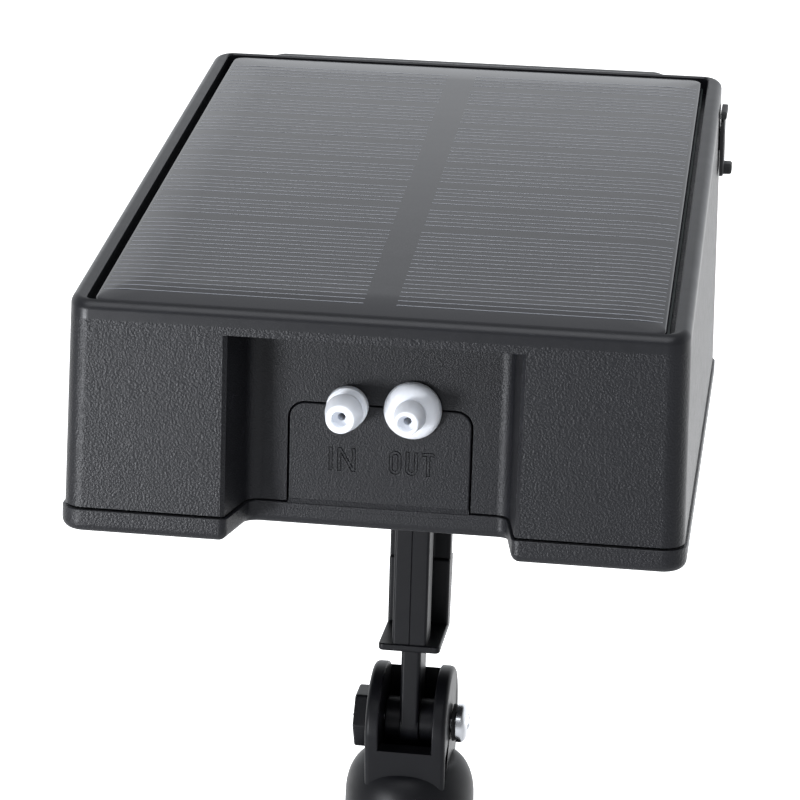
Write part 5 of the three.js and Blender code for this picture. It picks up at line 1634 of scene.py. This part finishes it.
@dataclass
class Post:
    """The ribbed post under the case, down to its hinge tongue."""

    length: float = 40.7
    collar: float = 1.5
    gusset: float = 14.0
    screw_drop: float = 5.0

    def build(self) -> None:
        """The post and the screw that holds it."""
        section = [Corner(-3.5, -8.5, 0.6), Corner(-0.12, -8.5), Corner(0, -8.38), Corner(0.12, -8.5),
                   Corner(3.5, -8.5, 0.6), Corner(3.5, -2.5, 0.3), Corner(2.6, -1.7, 0.3),
                   Corner(2.6, 5.1, 0.5), Corner(6.2, 5.1, 0.4), Corner(6.2, 8.5, 0.6),
                   Corner(-6.2, 8.5, 0.6),
                   Corner(-6.2, 5.1, 0.4), Corner(-2.6, 5.1, 0.5), Corner(-2.6, -1.7, 0.3),
                   Corner(-3.5, -2.5, 0.3)]
        shank = Solid.prism(section, -self.length - 1, -GAP)
        low = -self.length - self.collar
        collar = Solid.prism(plate_corners(-6.2, 6.2, -8.9, 8.5, 1.0), low, -self.length, Axis.Z, 0.45, 0.3)
        gusset = Solid.prism(
            [Corner(4.5, -self.length - 0.4), Corner(8.4, -self.length - 0.4),
             Corner(10.1, -self.length + 10, 1.5),
             Corner(10.1, -self.length + self.gusset, 0.6), Corner(4.5, -self.length + self.gusset, 0.6)],
            -6.2, 6.2, Axis.X, 0.5, 0.5)
        tongue = Solid.prism(plate_corners(-2, 2, -5, 5, 0.8), -form.hinge_drop, low + 0.5)
        eye = Solid.rod(Axis.X, 5, -2, 2, (0, -form.hinge_drop), 0.3, 56)
        hub = Solid.rod(Axis.X, 4.5, -5.1, 5.1, (0, -form.hinge_drop), 0.35, 56)
        holes = [Solid.rod(Axis.X, 2.3, -FAR_OFF, FAR_OFF, (0, -form.hinge_drop)),
                 Solid.rod(Axis.Y, 2.05, -1, FAR_OFF, (0, -self.screw_drop), sides=24)]
        post = shank.join(collar, gusset, tongue, eye, hub).cut(*holes)
        add_piece("post_finished", post.shifted(y=form.hinge_from_near), "head",
                  ["stake_plastic"], form.case_frame, ["post"])
        head = PanHead(3.2, 2.2, 1.75, 11.0)
        screw = head.build().placed(Matrix.Rotation(math.radians(90), 4, "X"))
        screw.shifted(y=form.hinge_from_near + 11.2 + GAP, z=-self.screw_drop)
        add_piece("post_screw_finished", screw, "head", ["bright_steel"], form.case_frame,
                  ["post_screw"])


@dataclass
class PanHead:
    """A cross-head pan screw that points up the z axis, its head's underside at zero."""

    head_radius: float
    head_height: float
    radius: float
    length: float

    def build(self) -> Solid:
        """The screw.

        Returns:
            The solid.
        """
        r, h = self.head_radius, self.head_height
        crown = [(r * math.sin(a), -h * (0.35 + 0.65 * math.cos(a)))
                 for a in [math.radians(k * 15) for k in range(1, 7)]]
        shank = [(self.radius, 0), (self.radius, self.length - self.radius * 1.2), (0, self.length)]
        body = Solid.turned([(0, -h), *crown, (r, 0), *shank], Axis.Z, sides=40)
        wide, long, deep = r * 0.13, r * 0.58, h * 0.62
        cross = [Solid.loft([
            [Vector((x * u, y * v, z)) for u, v in ((-1, -1), (1, -1), (1, 1), (-1, 1))]
            for x, y, z in ((a, b, -h - 1), (a, b, -h + 0.1), (a * 0.55, b * 0.55, -h + deep))])
            for a, b in ((wide, long), (long, wide))]
        return body.cut(*cross)


# ---------------------------------------------------------------- case screws


@dataclass
class CaseScrews:
    """The six screws in the case's underside, set by a node tree."""

    def build(self) -> None:
        """All six screws as one piece."""
        tree = bpy.data.node_groups.new("case_screws", "GeometryNodeTree")
        tree.interface.new_socket("Geometry", in_out="OUTPUT", socket_type="NodeSocketGeometry")
        tree.interface.new_socket("Geometry", in_out="INPUT", socket_type="NodeSocketGeometry")
        screw_in = tree.interface.new_socket("Screw", in_out="INPUT",
                                             socket_type="NodeSocketObject").identifier
        steel_in = tree.interface.new_socket("Steel", in_out="INPUT",
                                             socket_type="NodeSocketMaterial").identifier
        nodes = NodeBuilder(tree)
        given = nodes.add("NodeGroupInput").outputs
        screw = nodes.add("GeometryNodeObjectInfo", {"Object": given["Screw"]})
        index = nodes.add("GeometryNodeInputIndex").outputs[0]
        turn = nodes.add("ShaderNodeCombineXYZ", {2: nodes.math("MULTIPLY", index, 0.7)}).outputs[0]
        copies = nodes.add("GeometryNodeInstanceOnPoints", {
            "Points": given["Geometry"], "Instance": screw.outputs["Geometry"], "Rotation": turn})
        real = nodes.add("GeometryNodeRealizeInstances", {"Geometry": copies.outputs[0]})
        steel = nodes.add("GeometryNodeSetMaterial",
                          {"Geometry": real.outputs[0], "Material": given["Steel"]})
        nodes.add("NodeGroupOutput", {0: steel.outputs[0]})
        pattern = bpy.data.objects.new("screw_pattern", PanHead(2.8, 1.8, 1.45, 16.0).build().mesh)
        spots = bpy.data.meshes.new("screw_spots")
        spots.from_pydata([(x, y, 2.3) for x, y in form.screws], [], [])
        carrier = bpy.data.objects.new("screw_carrier", spots)
        for holder in (pattern, carrier):
            bpy.context.scene.collection.objects.link(holder)
        step = carrier.modifiers.new("screws", "NODES")
        step.node_group = tree
        step[screw_in] = pattern
        step[steel_in] = finishes["bright_steel"]
        made = Solid(evaluated_mesh(carrier))
        carrier.modifiers.remove(step)
        bpy.data.objects.remove(carrier)
        bpy.data.objects.remove(pattern)
        names = [f"case_screw_{k + 1}" for k in range(len(form.screws))]
        add_piece("case_screws_finished", made, "head", ["bright_steel"], form.case_frame,
                  names)


# ---------------------------------------------------------------- stake


@dataclass
class Stake:
    """The forked head on its spike, with the hinge's hardware. Heights are above the ground line."""

    hinge: float = 70.0
    ear_radius: float = 11.5
    ear_inner: float = 5.4
    ear_outer: float = 8.2
    hollow: float = 7.5
    mouth: float = 3.0
    neck: float = 9.6
    sleeve: float = 13.2
    foot: float = 13.8
    socket: float = 10.8
    screw_hole: float = 2.3
    nut_boss: float = 11.2
    nut_pocket: float = 7.6
    placing: Matrix = field(default_factory=lambda: Matrix.Scale(MM, 4))

    def build(self) -> None:
        """The fork, the spike and the hardware."""
        add_piece("fork_head_finished", self._fork(), "stake", ["stake_plastic"],
                  self.placing, ["fork_head"])
        self._hardware()
        add_piece("ground_spike_finished", self._spike(), "stake", ["stake_plastic"],
                  self.placing, ["ground_spike"])

    def _side(self, low: float, high: float) -> list[Corner]:
        """The fork's side outline between two heights below the hinge; the upper end is the ears' arc.

        Args:
            low: Low end.
            high: High end.

        Returns:
            The corners.
        """
        def reach(z: float) -> float:
            """Half the fork's width at a height below the hinge."""
            return self.ear_radius + (self.ear_radius - self.neck) * z / 12

        if high < 0:
            return [Corner(-reach(low), low), Corner(reach(low), low), Corner(reach(high), high),
                    Corner(-reach(high), high)]
        top = [Corner(*p) for p in arc(0, 0, self.ear_radius, 0, 180, 28)]
        return [Corner(-reach(low), low), Corner(reach(low), low), *top]

    def _fork(self) -> Solid:
        """Two rounded ears on a neck, a domed shoulder and the sleeve.

        Returns:
            The solid.
        """
        ears = [Solid.prism(self._side(-12, 0), self.ear_inner, self.ear_outer, Axis.X, 0.35, 1.0),
                Solid.prism(self._side(-12, 0), -self.ear_outer, -self.ear_inner, Axis.X, 1.0, 0.35)]
        neck = Solid.prism(self._side(-12, -3), -self.ear_outer, self.ear_outer, Axis.X, 1.0, 1.0)
        web = Solid.prism(self._side(-12, 0), -self.ear_outer + 1, self.ear_outer - 1, Axis.X).cut(
            Solid.block((-FAR_OFF, FAR_OFF), (-FAR_OFF, self.hollow), (-self.mouth, FAR_OFF)))
        crown = self.sleeve * 0.68
        dome = [(crown + (self.sleeve - crown) * math.sin(a), -8 - 8 * (1 - math.cos(a)))
                for a in [math.radians(7.5 * k) for k in range(13)]]
        low = 3 - self.hinge
        profile = [(0, low), (self.foot - 0.6, low), *arc(self.foot - 0.6, low + 0.6, 0.6, -90, 0, 4),
                   *reversed(dome), (0, -8)]
        sleeve = Solid.turned(profile, Axis.Z, sides=72)
        boss = Solid.prism(hexagon(self.nut_boss, 0.9), -11.4, -self.ear_outer + 0.5, Axis.X, 0.5, 0.0)
        fork = neck.join(*ears, web, sleeve, boss)
        fork = fork.cut(
            Solid.rod(Axis.X, self.hollow, -self.ear_inner, self.ear_inner, sides=64),
            Solid.rod(Axis.X, self.screw_hole, -FAR_OFF, FAR_OFF),
            Solid.prism(hexagon(self.nut_pocket), -FAR_OFF, -8.1, Axis.X),
            Solid.rod(Axis.Z, self.socket, low - 1, -22, sides=64))
        return fork.shifted(z=self.hinge)

    def _hardware(self) -> None:
        """The hinge's screw, washer and nut; the washer's black is painted shade for the dark recess round
        the screw's head.
        """
        screw = PanHead(4.0, 2.5, 2.0, 21.8).build().placed(Matrix.Rotation(math.radians(-90), 4, "Y"))
        add_piece("hinge_screw_finished", screw.shifted(x=9.4, z=self.hinge), "stake",
                  ["bright_steel"], self.placing, ["hinge_screw"])
        # The washer is a black ring between the ear and the screw head: painted shade standing in for the
        # dark recess round the head.
        ring = [(2.3, 8.5), (3.7, 8.5), (3.8, 8.6), (3.8, 9.0), (3.7, 9.1), (2.3, 9.1), (2.3, 8.5)]
        add_piece("hinge_washer_finished", Solid.turned(ring, Axis.X, (0, self.hinge), 48), "stake",
                  ["black_rubber"], self.placing, ["hinge_washer"])
        nut = Solid.prism(hexagon(7.0, 0.3), -11.4, -8.4, Axis.X, 0.3, 0.3)
        nut = nut.cut(Solid.rod(Axis.X, 2.3, -FAR_OFF, FAR_OFF)).shifted(z=self.hinge)
        add_piece("hinge_nut_finished", nut, "stake", ["bright_steel"], self.placing,
                  ["hinge_nut"])

    def _spike(self) -> Solid:
        """The round ground plate, the peg and the crossed blades.

        Returns:
            The solid.
        """
        plate = Solid.rod(Axis.Z, 19, 0, 2.7, edge=0.8, sides=96)
        blade = [Corner(-12.5, 0.5), Corner(-2.2, -126), Corner(0, -135, 0.12), Corner(2.2, -126),
                 Corner(12.5, 0.5)]
        peg = plate_corners(-10.5, 10.5, 1, 40.7, 1.0)
        parts = []
        for angle in (0, 90):
            turn = Matrix.Rotation(math.radians(angle), 4, "Z")
            parts.append(Solid.prism(blade, -1.2, 1.2, Axis.Y, 0.35, 0.35).placed(turn))
            parts.append(Solid.prism(peg, -1.2, 1.2, Axis.Y, 0.3, 0.3).placed(turn))
        return plate.join(*parts)


# ---------------------------------------------------------------- inner works


@dataclass
class InnerWorks:
    """Pump, battery, seal and leads: CAD pieces that keep their shape and take their finishes."""

    dressed: dict[str, str] = field(default_factory=lambda: {
        "case_seal": "black_rubber", "pump_valve_head": "pump_plastic", "pump_diaphragm": "black_rubber",
        "pump_housing": "pump_plastic", "pump_crank": "bright_steel", "pump_motor": "motor_can",
        "pump_saddle": "pump_plastic", "pump_strap": "bright_steel", "battery_cell": "battery_sleeve",
        "battery_cradle": "pump_plastic", "motor_lead": "lead_red", "battery_lead": "lead_red",
        "panel_lead": "lead_insulation"})

    def build(self) -> None:
        """Dresses every inner piece."""
        for node, material in self.dressed.items():
            dress(node, material)


# ---------------------------------------------------------------- studio


@dataclass
class Studio:
    """A pale floor, near-white surroundings, soft lights and the camera."""

    floor_drop: float = 0.001
    front_glow: float = 0.38
    camera_place: Vector = field(default_factory=lambda: Vector((0.06644, -0.53752, 0.29264)))
    camera_aim: Vector = field(default_factory=lambda: Vector((-0.00438, 0.0, 0.13747)))
    camera_roll: float = math.radians(1.676)
    lens: float = 128.2

    def build(self) -> None:
        """Sets the whole studio."""
        bpy.context.scene.view_settings.view_transform = "Standard"
        self._floor()
        self._world()
        self._light("key", (-0.58, -0.85, -0.02), 0.22, 9.0)
        self._light("top", (-0.1, -0.55, 1.0), 0.8, 7.0)
        self._camera()

    def _floor(self) -> None:
        """The floor, just under the spike's tip."""
        level = cad_box[0].z - self.floor_drop
        mesh = bpy.data.meshes.new("floor")
        reach = 12.0
        mesh.from_pydata([(-reach, -reach, level), (reach, -reach, level), (reach, reach, level),
                          (-reach, reach, level)], [], [(0, 1, 2, 3)])
        paper = bpy.data.materials.new("floor_paper")
        paper.use_nodes = True
        shader = paper.node_tree.nodes["Principled BSDF"]
        shader.inputs["Base Color"].default_value = (0.92, 0.92, 0.92, 1)
        shader.inputs["Roughness"].default_value = 0.9
        shader.inputs["Emission Color"].default_value = (1, 1, 1, 1)
        nodes = NodeBuilder(paper.node_tree)
        seen = nodes.add("ShaderNodeLightPath").outputs["Is Camera Ray"]
        place = nodes.add("ShaderNodeTexCoord").outputs["Object"]
        behind = self._range(nodes, nodes.add("ShaderNodeSeparateXYZ", {0: place}).outputs[1], (0.05, 0.5),
                             (0.0, 1.1))
        nodes.tree.links.new(
            nodes.math("MAXIMUM", nodes.math("MULTIPLY", seen, 0.75), behind),
            shader.inputs["Emission Strength"])
        mesh.materials.append(paper)
        floor = bpy.data.objects.new("floor", mesh)
        bpy.context.scene.collection.objects.link(floor)

    def _world(self) -> None:
        """Near-white surroundings, whose reflections are dim in front and bright low down behind."""
        world = bpy.data.worlds.new("surroundings")
        world.use_nodes = True
        bpy.context.scene.world = world
        nodes = NodeBuilder(world.node_tree)
        way = nodes.add("ShaderNodeTexCoord").outputs["Generated"]
        split = nodes.add("ShaderNodeSeparateXYZ", {0: way}).outputs
        behind = self._range(nodes, split[1], (-0.35, 0.45), (0.0, 1.0))
        wall = self._range(nodes, split[2], (0.46, 0.60), (1.55, 0.68))
        ahead = nodes.math("MULTIPLY", nodes.math("SUBTRACT", 1.0, behind), self.front_glow)
        reflected = nodes.math("ADD", ahead, nodes.math("MULTIPLY", behind, wall))
        seen = nodes.add("ShaderNodeLightPath").outputs["Is Camera Ray"]
        strength = nodes.math("MAXIMUM", reflected, seen)
        background = world.node_tree.nodes["Background"]
        background.inputs["Color"].default_value = (0.94, 0.965, 1.0, 1)
        nodes.tree.links.new(strength, background.inputs["Strength"])

    @staticmethod
    def _range(nodes: NodeBuilder, value: bpy.types.NodeSocket, source: Pair,
               target: Pair) -> bpy.types.NodeSocket:
        """A value carried smoothly from one range to another."""
        return nodes.add("ShaderNodeMapRange", {
            "Value": value, "From Min": source[0], "From Max": source[1], "To Min": target[0],
            "To Max": target[1]}, interpolation_type="SMOOTHSTEP").outputs[0]

    def _light(self, name: str, place: tuple[float, float, float], size: float, power: float) -> None:
        """A soft square light that faces the object.

        Args:
            name: Name of the light.
            place: Place in metres.
            size: Side of the square in metres.
            power: Power in watts.
        """
        data = bpy.data.lights.new(name, "AREA")
        data.size = size
        data.energy = power
        data.color = (0.94, 0.96, 1.0)
        light = bpy.data.objects.new(name, data)
        bpy.context.scene.collection.objects.link(light)
        light.location = place
        light.rotation_mode = "QUATERNION"
        light.rotation_quaternion = (Vector(place) - Vector((0, 0, 0.14))).to_track_quat("Z", "Y")

    def _camera(self) -> None:
        """The camera, with its slight roll."""
        data = bpy.data.cameras.new("camera")
        data.lens = self.lens
        data.sensor_width = 36
        data.clip_start = 0.02
        camera = bpy.data.objects.new("camera", data)
        bpy.context.scene.collection.objects.link(camera)
        forward = (self.camera_aim - self.camera_place).normalized()
        level = forward.cross(Vector((0, 0, 1))).normalized()
        upright = level.cross(forward)
        right = level * math.cos(self.camera_roll) + upright * math.sin(self.camera_roll)
        up = right.cross(forward)
        turn = Matrix((right, up, -forward)).transposed()
        camera.matrix_world = Matrix.Translation(self.camera_place) @ turn.to_4x4()
        bpy.context.scene.camera = camera


def main() -> None:
    """Builds the studio and the object, piece by piece."""
    logging.basicConfig(level=logging.INFO, format="%(name)s: %(message)s")
    Studio().build()
    for assembly in (UpperShell(), BaseCover(), SolarPanel(), HoseFittings(), ControlFace(), ChargingPort(),
                     Post(), CaseScrews(), Stake(), InnerWorks()):
        assembly.build()


if __name__ == "__main__":
    main()
